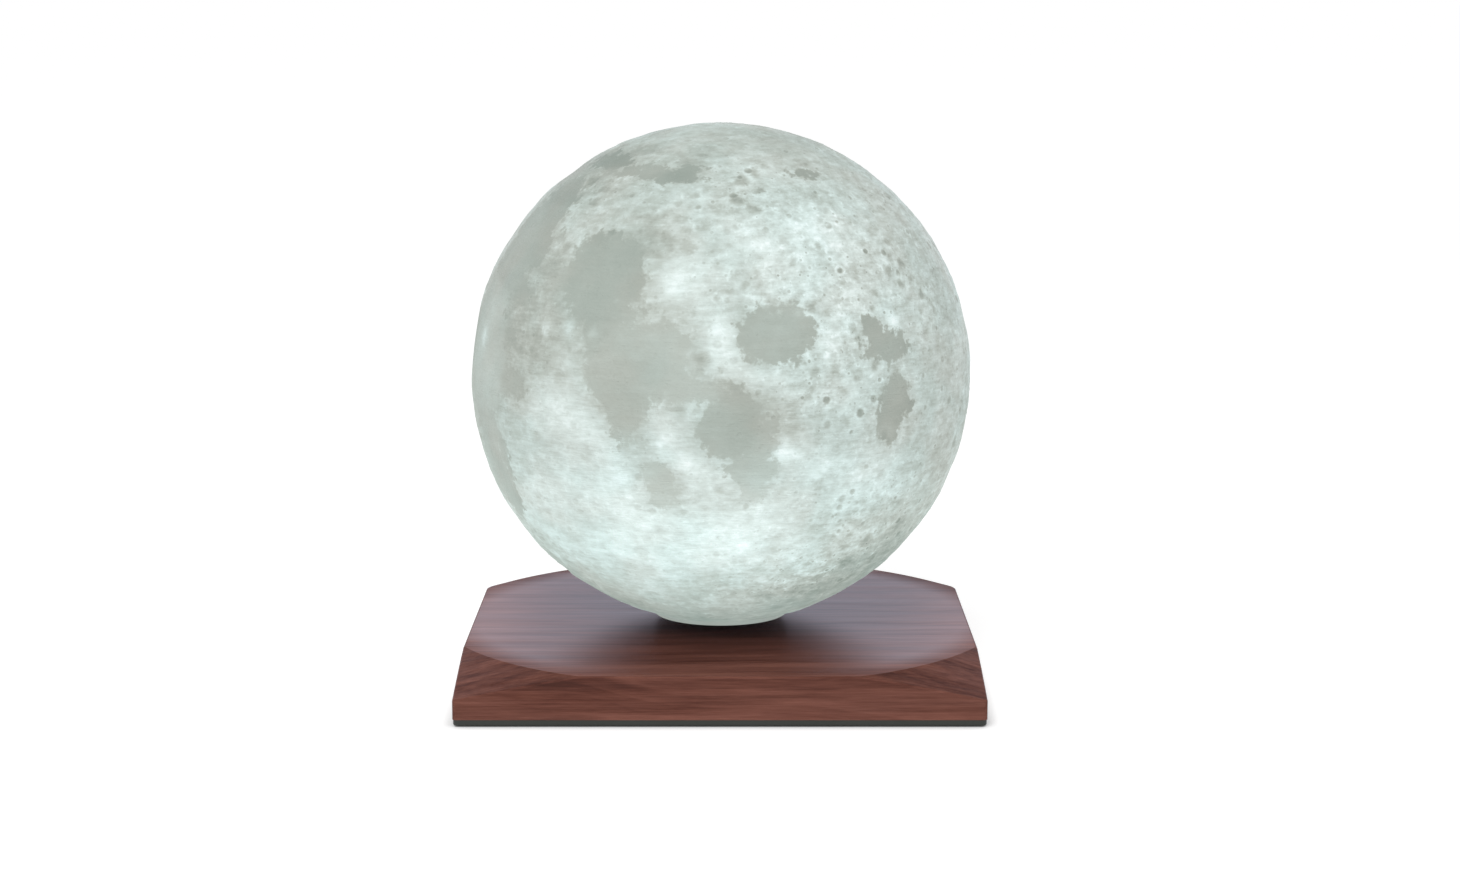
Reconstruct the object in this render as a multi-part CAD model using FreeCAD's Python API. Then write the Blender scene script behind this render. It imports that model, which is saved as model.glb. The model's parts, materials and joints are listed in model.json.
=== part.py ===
import FreeCAD, Part
import math
import os

# A moon lamp whose moon floats over a square wooden base, +Z up, in millimetres. The origin is
# the middle of the base's underside, and the front looks along -Y. The base holds a ring magnet,
# four electromagnets and a flat transmitter coil. The moon holds a disc magnet, a receiver coil
# and the LEDs, so the field carries both its weight and its power, and it can turn and lift off.

V = FreeCAD.Vector
UP = V(0, 0, 1)
BACK = V(0, 1, 0)

# ---- driving dimensions: wooden base ----
BASE_SIDE = 180.0
BASE_HEIGHT = 17.5
DISC_OVERHANG = 11.3  # how far past the sides the flat top's disc would reach
CORNER_HEIGHT = 9.0  # where the conical slope meets the corners
CORNER_R = 1.5
EDGE_EASE = 0.7
PAD_HEIGHT = 0.5  # how far the feet lift the cover
COVER_T = 2.0
COVER_INSET = 0.2
COVER_CORNER_R = 1.8
COVER_EASE = 0.25
RIM_WIDTH = 15.0  # wood between the sides and the square pocket
POCKET_CORNER_R = 12.0
POCKET_SKIN = 6.0  # wood over the square pocket
WELL_GAP = 2.0  # round the module frame
WELL_SKIN = 2.5  # wood over the round well, thin so that the field reaches the moon

# ---- driving dimensions: levitation module ----
REAR_ROOM = 14.0  # between the frame's rim and the pocket's sides, for the tall parts
FRAME_WALL = 3.0  # outside the ring magnet
BOARD_T = 1.6
FRAME_HEAD_DEPTH = 2.4  # how far up the counterbores for the frame screws reach
YOKE_T = 1.0
RING_IN_R = 36.2
RING_ROOF = 1.0  # of the frame, over the ring magnet
MAGNET_FIT = 0.2
COIL_ORBIT_R = 20.0
COIL_COUNT = 4
BOBBIN_R = 9.8
BOBBIN_HUB_R = 4.2
BOBBIN_FLANGE_T = 0.8
WINDING_R = 9.0
CORE_R = 3.0
COIL_FIT = 0.4
SHEET_T = 0.4
TX_OUT_R = 31.0
TX_IN_R = 20.0
TX_T = 0.9
SENSOR_WELL_R = 8.5
SENSOR_LIFT = 3.4
SENSOR_ORBIT_R = 4.2
THIN_BOARD_T = 0.8
ARM_WIDTH = 13.0
ARM_GAP = 13.1  # from an arm's end to the pocket's corner
ARM_END_R = 6.0

# ---- driving dimensions: control board ----
BOARD_ROOM = 1.5  # between the cover and the board, for the chips
BOARD_GAP = 3.0  # from the tongues' ends to the pocket's sides
BOARD_SCREW_GAP = 6.6  # from the board's edge to the frame screws
REAR_TONGUE_WIDTH = 60.0
FRONT_TONGUE_WIDTH = 24.0
CHIP_T = 1.1
CONTROLLER_SIDE = 9.0
CONTROLLER_Y = -30.0
TX_DRIVER_SIDE = 7.0
TX_DRIVER_Y = 32.0
COIL_DRIVER_WIDTH = 5.0
COIL_DRIVER_DEPTH = 6.2
COIL_DRIVER_ORBIT_R = 33.0
HALL_WIDTH = 3.0
HALL_DEPTH = 2.6
RESISTOR_WIDTH = 2.0
RESISTOR_DEPTH = 1.25
RESISTOR_T = 0.6
RESISTOR_PITCH = 6.0
RESISTORS_PER_ROW = 6
RESISTOR_ROW_Y = 14.0
TALL_PARTS_INSET = 5.0  # from the end of the rear tongue
CAPACITOR_R = 3.15
CAPACITOR_HEADROOM = 0.5  # under the pocket's top
CAPACITOR_PITCH = 7.5
CAPACITOR_MIDDLE_X = -17.5
INDUCTOR_SIDE = 7.0
INDUCTOR_HEADROOM = 1.7
INDUCTOR_CORNER_R = 1.2
INDUCTOR_X = 14.0
HEADER_WIDTH = 10.0
HEADER_DEPTH = 6.0
HEADER_HEADROOM = 0.7
HEADER_WALL = 1.0
TOUCH_INSET = 6.5  # from the end of the front tongue
TOUCH_PAD_WIDTH = 16.0
TOUCH_PAD_DEPTH = 8.0
TOUCH_PAD_T = 0.3
TOUCH_LEAF_T = 0.4
TOUCH_LEAF_WIDTH = 4.0
TOUCH_LEAF_REACH = 5.0

# ---- driving dimensions: power inlet ----
INLET_HEIGHT = 9.0
INLET_FLANGE_R = 5.5
INLET_FLANGE_T = 1.3
INLET_BARREL_R = 4.0
INLET_BARREL_LENGTH = 11.1
MOUTH_R = 3.3
MOUTH_DEPTH = 2.0
SOCKET_R = 2.75
SOCKET_DEPTH = 10.5
CENTRE_PIN_R = 1.05
CENTRE_PIN_SETBACK = 2.4
INLET_WALL = 4.6
INLET_NUT_T = 2.0
INLET_NUT_FLAT = 10.0
INLET_NUT_ROOM = 0.2
INLET_FIT = 0.1
INLET_EASE = 0.4
INLET_BAY_WIDTH = 16.0
INLET_BAY_REACH = 6.0  # how far the inlet's bay goes on over the pocket, for the leads
INLET_TAIL = 3.0
INLET_TAG_T = 0.8
INLET_TAG_WIDTH = 3.0
POWER_LEAD_R = 0.6
POWER_LEAD_BEND = 0.8
POWER_LEAD_STRAIGHT = 1.6

# ---- driving dimensions: moon ----
MOON_R = 90.0
SHELL_T = 1.6
FLAT_MARGIN = 0.3  # of the flat, round the cap's flange
FLOAT_GAP = 2.0
CAP_R = 20.2
CAP_FIT = 0.3  # between the cap and the shell's bore
CAP_WALL = 2.4
CAP_LIP_WALL = 1.2  # above the ledge that the retainer sits on
CAP_FLANGE_WIDTH = 3.7
CAP_FLANGE_T = 1.5
SEAT_WIDTH = 6.5
SEAT_T = 5.0
DISC_MAGNET_T = 8.0
DISC_MAGNET_FIT = 0.3
RX_T = 1.2
RX_WIDTH = 7.5
RX_SHEET_T = 0.6
RETAINER_T = 1.8
POST_R = 2.1
POST_INSET = 3.4  # from the cap's lip
POST_HEIGHT = 8.0
RECTIFIER_GAP = 0.9  # to the posts
RECTIFIER_T = 1.0
RECTIFIER_LIFT = 2.0
RECTIFIER_PAD_R = 1.5
BRIDGE_WIDTH = 5.0
BRIDGE_DEPTH = 4.0
BRIDGE_T = 1.6
BRIDGE_Y = 2.5
LED_DRIVER_WIDTH = 4.0
LED_DRIVER_DEPTH = 3.6
LED_DRIVER_T = 1.2
LED_DRIVER_Y = -3.0
STORE_R = 2.0
STORE_HEIGHT = 3.6
STORE_X = 4.5
STORE_Y = -6.5
SPREADER_T = 2.5
LED_BOARD_INSET = 2.2  # from the edge of the heat spreader
LED_BOARD_T = 1.2
LED_SIDE = 2.8
LED_T = 0.8
DOME_INSET = 0.6  # from the same edge
DOME_T = 1.2
DOME_RIM = 3.0
LEAD_GROOVE_X = 2.4
LEAD_GROOVE_WIDTH = 1.6
RECEIVER_LEAD_R = 0.4
RECEIVER_LEAD_BEND = 0.6
RECEIVER_LEAD_HUMP = 2.2
RECEIVER_LEAD_INSET = 1.8  # from the rectifier's edge
LED_LEAD_R = 0.6
LED_LEAD_X = 3.0
LED_LEAD_Y = 7.6

# ---- driving dimensions: surface of the moon ----
FACING_LONGITUDE = 47.8  # the longitude that looks to the front
MOON_LEAN = 1.3  # how far its poles lean to the side, in degrees
BASIN_DEPTH = 0.35
CRATER_DEPTH = 0.45

# The seas of the moon: latitude, longitude and radius, in degrees.
BASINS = {
    "crisium": (17.0, 59.0, 8.2),
    "serenitatis": (27.5, 18.5, 10.2),
    "tranquillitatis": (8.5, 30.0, 10.8),
    "fecunditatis": (-5.0, 51.5, 8.6),
    "nectaris": (-15.5, 34.8, 5.2),
    "imbrium": (33.0, -16.0, 17.0),
    "nubium": (-21.0, -16.0, 10.5),
    "humorum": (-24.5, -39.0, 6.2),
    "procellarum": (16.0, -54.0, 17.5),
    "north_east_limb": (57.0, 81.5, 3.6),
    "marginis": (14.0, 87.0, 4.6),
    "east_limb": (-1.5, 87.2, 4.6),
    "moscoviense": (27.0, 148.0, 5.0),
    "ingenii": (-34.0, 163.0, 5.6),
    "orientale": (-19.5, -93.0, 6.0),
    "australe": (-42.0, 93.0, 8.4),
}

# Its main craters: latitude and longitude in degrees, and radius on this moon.
CRATERS = [
    (-9, 61, 3.4),
    (-25, 60, 4.6),
    (-36, 61, 3.5),
    (-16.5, 62, 3.6),
    (-11.5, 26.5, 2.6),
    (-18, 23.5, 2.8),
    (-23, 33, 3.0),
    (-30, 32, 2.5),
    (-41, 14, 3.0),
    (-45, 40, 5.2),
    (-24, 16.5, 2.8),
    (38.5, 33, 2.6),
    (47, 44.5, 2.4),
    (47, 39, 2.0),
    (53.5, 56.5, 3.2),
    (30, 54, 3.2),
    (39, 60.5, 3.2),
    (35.5, 79, 4.6),
    (31, 72, 2.4),
    (8, 77, 3.0),
    (-7, 77, 2.8),
    (-13, 80, 2.6),
    (-27, 81, 5.4),
    (-20, 74, 3.4),
    (50, 17.5, 2.4),
    (44, 13, 2.0),
    (52, -8, 2.8),
    (-9, -2, 4.2),
    (-14.5, -3, 2.8),
    (-12, 5, 3.5),
    (-5, 6, 3.6),
    (-28, 0, 3.1),
    (-35, 1, 3.4),
    (-41.5, 6, 3.4),
    (-59, -14, 5.8),
    (-43.5, -11.5, 2.4),
    (-50, -4, 4.8),
    (-49.5, -22, 4.0),
    (9.5, -20, 2.4),
    (-44.5, -54.5, 5.3),
    (-5, -69, 4.4),
    (-3, -76, 3.4),
    (62, -42, 4.2),
    (65, 4.5, 4.0),
    (73.5, 19, 3.3),
    (66, 55, 3.0),
    (-57, 24, 3.2),
    (-58, 54, 3.4),
    (-52, 66, 3.0),
    (-20.5, 129, 4.8),
    (-20, 149, 6.6),
    (-36, 146, 3.7),
    (-12, 104.5, 5.8),
    (43, 101, 4.7),
    (27, 95, 3.6),
    (15, 109.5, 2.8),
    (5.5, 141, 6.8),
    (45.5, 151.5, 5.6),
    (-31.5, 112, 6.4),
    (63, 124, 4.4),
    (27, 122, 3.4),
    (-50, 124, 4.4),
    (1.5, -129, 7.0),
    (-4, -157.5, 7.0),
    (59, -146, 6.8),
    (-36, -152, 7.4),
    (-57, 163.5, 6.5),
    (-14, -150, 4.4),
    (18.5, -149.5, 4.7),
    (41.5, -118, 5.4),
    (32.5, -95, 6.5),
    (-35, -166.5, 4.6),
    (-10.5, 167, 4.2),
    (18, 174, 4.0),
    (-46, -120, 4.6),
    (68, -100, 4.2),
]

# ---- fasteners ----
COVER_SCREW_INSET = 7.5  # from the sides, in the middle of the wooden rim
COVER_SCREW_Y = 42.0
FOOT_R = 7.0
FOOT_T = 1.0
FOOT_EASE = 0.3
FOOT_INSET = 12.0  # from the sides
FRAME_SCREW_INSET = 8.0  # from an arm's end
BOARD_SCREW_INSET = 4.0  # from the board's edges
SCREW_HEAD_FIT = 0.3
OVERCUT = 1.0  # how far a cutting shape reaches past what it cuts

# ---- places and sizes that follow from those above ----
HALF = BASE_SIDE / 2
DISC_R = HALF + DISC_OVERHANG
POCKET_SIDE = BASE_SIDE - 2 * RIM_WIDTH
POCKET_HALF = POCKET_SIDE / 2
POCKET_DIAGONAL = math.hypot(POCKET_HALF, POCKET_HALF) - (math.sqrt(2) - 1) * POCKET_CORNER_R
FRAME_R = POCKET_HALF - REAR_ROOM
WELL_R = FRAME_R + WELL_GAP
RING_OUT_R = FRAME_R - FRAME_WALL - MAGNET_FIT
ARM_REACH = POCKET_DIAGONAL - ARM_GAP
FRAME_SCREW_AT = (ARM_REACH - FRAME_SCREW_INSET) / math.sqrt(2)
BOARD_SIDE = 2 * (FRAME_SCREW_AT - BOARD_SCREW_GAP)
BOARD_SCREW_AT = BOARD_SIDE / 2 - BOARD_SCREW_INSET
TONGUE_REACH = POCKET_HALF - BOARD_GAP
TALL_PARTS_Y = TONGUE_REACH - TALL_PARTS_INSET
TOUCH_Y = TOUCH_INSET - TONGUE_REACH
FOOT_AT = HALF - FOOT_INSET
COVER_SCREW_X = HALF - COVER_SCREW_INSET

COVER_BOTTOM = PAD_HEIGHT
WOOD_BOTTOM = COVER_BOTTOM + COVER_T
POCKET_TOP = BASE_HEIGHT - POCKET_SKIN
WELL_TOP = BASE_HEIGHT - WELL_SKIN
TX_AIR = 0.1
SHEET_BOTTOM = WELL_TOP - TX_AIR - TX_T - SHEET_T
BOARD_BOTTOM = WOOD_BOTTOM + BOARD_ROOM
FRAME_BOTTOM = BOARD_BOTTOM + BOARD_T
FRAME_T = SHEET_BOTTOM - FRAME_BOTTOM
RING_T = FRAME_T - YOKE_T - RING_ROOF
TALL_ROOM = POCKET_TOP - FRAME_BOTTOM
CAPACITOR_HEIGHT = TALL_ROOM - CAPACITOR_HEADROOM
INDUCTOR_HEIGHT = TALL_ROOM - INDUCTOR_HEADROOM
HEADER_HEIGHT = TALL_ROOM - HEADER_HEADROOM
INLET_FACE = HALF - INLET_FIT
INLET_FLANGE_BACK = INLET_FACE - INLET_FLANGE_T
INLET_WALL_BACK = INLET_FLANGE_BACK - INLET_WALL
INLET_BARREL_END = INLET_FLANGE_BACK - INLET_BARREL_LENGTH
INLET_NUT_R = INLET_NUT_FLAT / math.sqrt(3)

CAP_BORE_R = CAP_R + CAP_FIT
CAP_IN_R = CAP_R - CAP_WALL
CAP_LIP_R = CAP_R - CAP_LIP_WALL
CAP_FLANGE_R = CAP_BORE_R + CAP_FLANGE_WIDTH
FLAT_R = CAP_FLANGE_R + FLAT_MARGIN
SEAT_R = CAP_BORE_R + SEAT_WIDTH
DISC_MAGNET_R = CAP_IN_R - DISC_MAGNET_FIT
RX_IN_R = DISC_MAGNET_R - RX_WIDTH
POST_ORBIT_R = CAP_LIP_R - POST_INSET
RECTIFIER_R = POST_ORBIT_R - POST_R - RECTIFIER_GAP
LED_BOARD_R = CAP_R - LED_BOARD_INSET
DOME_R = CAP_R - DOME_INSET
LEAD_GROOVE_Y = CAP_IN_R + RECEIVER_LEAD_R

FLANGE_BOTTOM = BASE_HEIGHT + FLOAT_GAP
CUT_HEIGHT = FLANGE_BOTTOM + CAP_FLANGE_T
FLAT_DROP = math.sqrt(MOON_R**2 - FLAT_R**2)
MOON_CENTRE = CUT_HEIGHT + FLAT_DROP
CAP_FLOOR = CUT_HEIGHT
RX_TOP = CAP_FLOOR + RX_T
RX_SHEET_TOP = RX_TOP + RX_SHEET_T
MAGNET_BOTTOM = RX_SHEET_TOP + DISC_MAGNET_FIT
MAGNET_TOP = MAGNET_BOTTOM + DISC_MAGNET_T
RETAINER_BOTTOM = MAGNET_TOP + DISC_MAGNET_FIT
RETAINER_TOP = RETAINER_BOTTOM + RETAINER_T
RECTIFIER_BOTTOM = RETAINER_TOP + RECTIFIER_LIFT
RECTIFIER_TOP = RECTIFIER_BOTTOM + RECTIFIER_T
SPREADER_BOTTOM = RETAINER_TOP + POST_HEIGHT
SPREADER_TOP = SPREADER_BOTTOM + SPREADER_T
LED_BOARD_TOP = SPREADER_TOP + LED_BOARD_T

PARTS = {}


def keep(name, *solids):
    """Files one node: a single solid, or a group of separate solids."""
    PARTS[name] = solids[0] if len(solids) == 1 else Part.makeCompound(list(solids))


# ---- plain shapes ----
def cylinder(r, z0, z1, x=0.0, y=0.0):
    return Part.makeCylinder(r, z1 - z0, V(x, y, z0), UP)


def ring(outer_r, inner_r, z0, z1, x=0.0, y=0.0):
    return cylinder(outer_r, z0, z1, x, y).cut(cylinder(inner_r, z0, z1, x, y))


def block(x, y, z0, width, depth, height):
    """A box centred on x and y that stands on z0."""
    return Part.makeBox(width, depth, height, V(x - width / 2, y - depth / 2, z0))


def rounded_block(side, corner_r, z0, z1):
    square = block(0, 0, z0, side, side, z1 - z0)
    upright = [e for e in square.Edges if abs(e.Vertexes[0].Z - e.Vertexes[1].Z) > (z1 - z0) / 2]
    return square.makeFillet(corner_r, upright)


def turned(points):
    """A solid of revolution about Z from a closed outline of (radius, height) points."""
    outline = [V(r, 0, z) for r, z in points]
    face = Part.Face(Part.makePolygon(outline + outline[:1]))
    return face.revolve(V(0, 0, 0), UP, 360)


def on_circle(count, orbit_r, start=0.0):
    """The x, y of each of count places on a circle."""
    places = []
    for k in range(count):
        angle = math.radians(start + 360.0 * k / count)
        places.append((orbit_r * math.cos(angle), orbit_r * math.sin(angle)))
    return places


def corners(x, y=None):
    """The x, y of the four corners of a rectangle, or of a square when there is no y."""
    y = x if y is None else y
    return [(x, y), (-x, y), (-x, -y), (x, -y)]


def along_back(r, y0, y1, z):
    """A cylinder along +Y over the middle of the base."""
    return Part.makeCylinder(r, y1 - y0, V(0, y0, z), BACK)


def wire_run(points, bend_r, wire_r):
    """A round lead through the points: straight runs joined by tangent arcs of bend_r."""
    points = [V(*p) for p in points]
    edges, start = [], points[0]
    for before, corner, after in zip(points, points[1:], points[2:]):
        towards = (before - corner).normalize()
        onward = (after - corner).normalize()
        half_open = towards.getAngle(onward) / 2
        trim = bend_r / math.tan(half_open)
        arc_start = corner + towards * trim
        arc_end = corner + onward * trim
        inward = (towards + onward).normalize()
        arc_mid = corner + inward * (bend_r / math.sin(half_open) - bend_r)
        edges.append(Part.LineSegment(start, arc_start).toShape())
        edges.append(Part.Arc(arc_start, arc_mid, arc_end).toShape())
        start = arc_end
    edges.append(Part.LineSegment(start, points[-1]).toShape())
    first = (points[1] - points[0]).normalize()
    section = Part.Wire(Part.Circle(points[0], first, wire_r).toShape())
    return Part.Wire(edges).makePipeShell([section], True, True)


# ---- screws ----
SLOT_DEPTH_SHARE = 0.5
SLOT_LENGTH_SHARE = 1.1
SLOT_WIDTH_SHARE = 0.28


def cross_slot(x, y, z, head_r, head_t, up):
    """The cross recess of a screw head, cut from its face at height z."""
    depth = head_t * SLOT_DEPTH_SHARE
    low = z - depth if up else z
    long = head_r * SLOT_LENGTH_SHARE
    short = head_r * SLOT_WIDTH_SHARE
    return block(x, y, low, long, short, depth).fuse(block(x, y, low, short, long, depth))


def pan_screw_up(x, y, head_z, head_r, head_t, shank_r, length):
    """A pan-head screw driven upwards, its head under head_z."""
    head = cylinder(head_r, head_z - head_t, head_z, x, y)
    shank = cylinder(shank_r, head_z, head_z + length, x, y)
    slot = cross_slot(x, y, head_z - head_t, head_r, head_t, False)
    return head.fuse(shank).cut(slot).removeSplitter()


def pan_screw_down(x, y, head_z, head_r, head_t, shank_r, length):
    """A pan-head screw driven downwards, its head on head_z."""
    head = cylinder(head_r, head_z, head_z + head_t, x, y)
    shank = cylinder(shank_r, head_z - length, head_z, x, y)
    slot = cross_slot(x, y, head_z + head_t, head_r, head_t, True)
    return head.fuse(shank).cut(slot).removeSplitter()


def sunk_screw_up(x, y, face_z, head_r, head_t, shank_r, length):
    """A countersunk screw driven upwards, its flat head level with face_z."""
    head = Part.makeCone(head_r, shank_r, head_t, V(x, y, face_z), UP)
    shank = cylinder(shank_r, face_z + head_t, face_z + length, x, y)
    slot = cross_slot(x, y, face_z, head_r, head_t, False)
    return head.fuse(shank).cut(slot).removeSplitter()


def sunk_hole(x, y, face_z, far_z, screw):
    """The hole that a countersunk screw passes through, from face_z up to far_z."""
    sink = Part.makeCone(screw["head_r"], screw["shank_r"], screw["head_t"], V(x, y, face_z), UP)
    return sink.fuse(cylinder(screw["shank_r"], face_z, far_z, x, y))


COVER_SCREW = {"head_r": 2.9, "head_t": 1.5, "shank_r": 1.4, "length": 9.0}
FRAME_SCREW = {"head_r": 2.8, "head_t": 1.6, "shank_r": 1.4, "length": 7.0}
BOARD_SCREW = {"head_r": 2.2, "head_t": 1.2, "shank_r": 1.1, "length": 5.5}
CAP_SCREW = {"head_r": 1.4, "head_t": 0.9, "shank_r": 0.7, "length": 5.0}
LED_SCREW = {"head_r": 1.7, "head_t": 1.1, "shank_r": 0.8, "length": 7.0}
CAP_SCREW_ORBIT_R = (CAP_BORE_R + CAP_FLANGE_R) / 2
FRAME_HEAD_Z = FRAME_BOTTOM + FRAME_HEAD_DEPTH


# ---- wooden base ----
def base_outside():
    """The square block under a cone whose flat top is a disc wider than the sides."""
    corner_reach = math.hypot(HALF, HALF)
    slope = (BASE_HEIGHT - CORNER_HEIGHT) / (corner_reach - DISC_R)
    far_r = corner_reach + OVERCUT
    far_z = BASE_HEIGHT - (far_r - DISC_R) * slope
    cone = turned([(0, 0), (far_r, 0), (far_r, far_z), (DISC_R, BASE_HEIGHT), (0, BASE_HEIGHT)])
    square = rounded_block(BASE_SIDE, CORNER_R, WOOD_BOTTOM, BASE_HEIGHT + OVERCUT)
    body = square.common(cone)
    rim = [e for e in body.Edges if e.BoundBox.ZMin > (WOOD_BOTTOM + CORNER_HEIGHT) / 2]
    return body.makeFillet(EDGE_EASE, rim)


def wood_base():
    body = base_outside()
    opening = WOOD_BOTTOM - OVERCUT
    pocket = rounded_block(POCKET_SIDE, POCKET_CORNER_R, opening, POCKET_TOP)
    well = cylinder(WELL_R, opening, WELL_TOP)
    bay_depth = INLET_WALL_BACK - POCKET_HALF + INLET_BAY_REACH
    bay_top = INLET_HEIGHT + INLET_NUT_R + INLET_NUT_ROOM
    bay_y = INLET_WALL_BACK - bay_depth / 2
    bay = block(0, bay_y, opening, INLET_BAY_WIDTH, bay_depth, bay_top - opening)
    outside = HALF + OVERCUT
    inlet_hole = along_back(INLET_BARREL_R + INLET_FIT, INLET_WALL_BACK - OVERCUT, outside, INLET_HEIGHT)
    flange_sink = along_back(INLET_FLANGE_R + INLET_FIT, INLET_FLANGE_BACK, outside, INLET_HEIGHT)
    cuts = [pocket, well, bay, inlet_hole, flange_sink]
    cover_reach = COVER_BOTTOM + COVER_SCREW["length"]
    frame_reach = FRAME_HEAD_Z + FRAME_SCREW["length"]
    for x, y in corners(COVER_SCREW_X, COVER_SCREW_Y):
        cuts.append(cylinder(COVER_SCREW["shank_r"], WOOD_BOTTOM, cover_reach, x, y))
    for x, y in corners(FRAME_SCREW_AT):
        cuts.append(cylinder(FRAME_SCREW["shank_r"], POCKET_TOP, frame_reach, x, y))
    keep("wood_base", body.cut(cuts))


def bottom_cover():
    plate = rounded_block(BASE_SIDE - 2 * COVER_INSET, COVER_CORNER_R, COVER_BOTTOM, WOOD_BOTTOM)
    lower_rim = [e for e in plate.Edges if e.BoundBox.ZMax < COVER_BOTTOM + COVER_T / 2]
    plate = plate.makeChamfer(COVER_EASE, lower_rim)
    foot_sink = FOOT_T - PAD_HEIGHT
    cuts = [cylinder(FOOT_R, COVER_BOTTOM, COVER_BOTTOM + foot_sink, x, y) for x, y in corners(FOOT_AT)]
    screw_at = corners(COVER_SCREW_X, COVER_SCREW_Y)
    cuts += [sunk_hole(x, y, COVER_BOTTOM, WOOD_BOTTOM, COVER_SCREW) for x, y in screw_at]
    keep("bottom_cover", plate.cut(cuts))
    keep("cover_screws", *[sunk_screw_up(x, y, COVER_BOTTOM, **COVER_SCREW) for x, y in screw_at])
    feet = []
    for x, y in corners(FOOT_AT):
        foot = cylinder(FOOT_R, 0, FOOT_T, x, y)
        feet.append(foot.makeChamfer(FOOT_EASE, [e for e in foot.Edges if e.BoundBox.ZMax < FOOT_T / 2]))
    keep("rubber_feet", *feet)


# ---- levitation module ----
def frame_arm(angle):
    inner = RING_OUT_R + MAGNET_FIT
    corner = V(inner, -ARM_WIDTH / 2, FRAME_BOTTOM)
    arm = Part.makeBox(ARM_REACH - inner, ARM_WIDTH, POCKET_TOP - FRAME_BOTTOM, corner)
    halfway = (inner + ARM_REACH) / 2
    outer_edges = [e for e in arm.Edges if e.BoundBox.XMin > halfway and e.BoundBox.YLength < ARM_WIDTH / 2]
    arm = arm.makeFillet(ARM_END_R, outer_edges)
    arm.rotate(V(0, 0, 0), UP, angle)
    return arm


def module_frame():
    """The moulded carrier: an annular pocket for the ring magnet, four coil wells and four arms."""
    top = FRAME_BOTTOM + FRAME_T
    magnet_top = FRAME_BOTTOM + YOKE_T + RING_T
    body = cylinder(FRAME_R, FRAME_BOTTOM, top).fuse([frame_arm(45 + 90 * k) for k in range(4)])
    magnet_room = ring(RING_OUT_R + MAGNET_FIT, RING_IN_R - MAGNET_FIT, FRAME_BOTTOM, magnet_top)
    cuts = [magnet_room, cylinder(SENSOR_WELL_R, FRAME_BOTTOM, top)]
    for x, y in on_circle(COIL_COUNT, COIL_ORBIT_R):
        cuts.append(cylinder(BOBBIN_R + COIL_FIT, FRAME_BOTTOM, top, x, y))
    for x, y in corners(FRAME_SCREW_AT):
        cuts.append(cylinder(FRAME_SCREW["head_r"] + SCREW_HEAD_FIT, FRAME_BOTTOM, FRAME_HEAD_Z, x, y))
        cuts.append(cylinder(FRAME_SCREW["shank_r"], FRAME_HEAD_Z, POCKET_TOP, x, y))
    for x, y in corners(BOARD_SCREW_AT):
        reach = BOARD_BOTTOM + BOARD_SCREW["length"]
        cuts.append(cylinder(BOARD_SCREW["shank_r"], FRAME_BOTTOM, reach, x, y))
    keep("module_frame", body.cut(cuts).removeSplitter())
    screws = [pan_screw_up(x, y, FRAME_HEAD_Z, **FRAME_SCREW) for x, y in corners(FRAME_SCREW_AT)]
    keep("frame_screws", *screws)


def base_magnets():
    keep("steel_yoke", ring(RING_OUT_R, RING_IN_R, FRAME_BOTTOM, FRAME_BOTTOM + YOKE_T))
    magnet_z = FRAME_BOTTOM + YOKE_T
    keep("ring_magnet", ring(RING_OUT_R, RING_IN_R, magnet_z, magnet_z + RING_T))


def electromagnets():
    bobbins, windings, cores = [], [], []
    bottom = FRAME_BOTTOM
    top = FRAME_BOTTOM + FRAME_T
    wound_from = bottom + BOBBIN_FLANGE_T
    wound_to = top - BOBBIN_FLANGE_T
    for x, y in on_circle(COIL_COUNT, COIL_ORBIT_R):
        core = cylinder(CORE_R, bottom, top, x, y)
        hub = cylinder(BOBBIN_HUB_R, bottom, top, x, y)
        flanges = [cylinder(BOBBIN_R, bottom, wound_from, x, y), cylinder(BOBBIN_R, wound_to, top, x, y)]
        bobbins.append(hub.fuse(flanges).cut(core).removeSplitter())
        windings.append(ring(WINDING_R, BOBBIN_HUB_R, wound_from, wound_to, x, y))
        cores.append(core)
    keep("coil_bobbins", *bobbins)
    keep("coil_windings", *windings)
    keep("coil_cores", *cores)


def transmitter():
    keep("transmit_sheet", ring(TX_OUT_R + 1.0, TX_IN_R - 1.0, SHEET_BOTTOM, SHEET_BOTTOM + SHEET_T))
    coil_z = SHEET_BOTTOM + SHEET_T
    keep("transmit_coil", ring(TX_OUT_R, TX_IN_R, coil_z, coil_z + TX_T))


def position_sensors():
    spacer_top = FRAME_BOTTOM + SENSOR_LIFT
    board_top = spacer_top + THIN_BOARD_T
    keep("sensor_spacer", cylinder(SENSOR_WELL_R / 3, FRAME_BOTTOM, spacer_top))
    keep("sensor_board", cylinder(SENSOR_WELL_R - 1.0, spacer_top, board_top))
    places = on_circle(3, SENSOR_ORBIT_R, 90)
    keep("hall_sensors", *[block(x, y, board_top, HALL_WIDTH, HALL_DEPTH, CHIP_T) for x, y in places])


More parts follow.
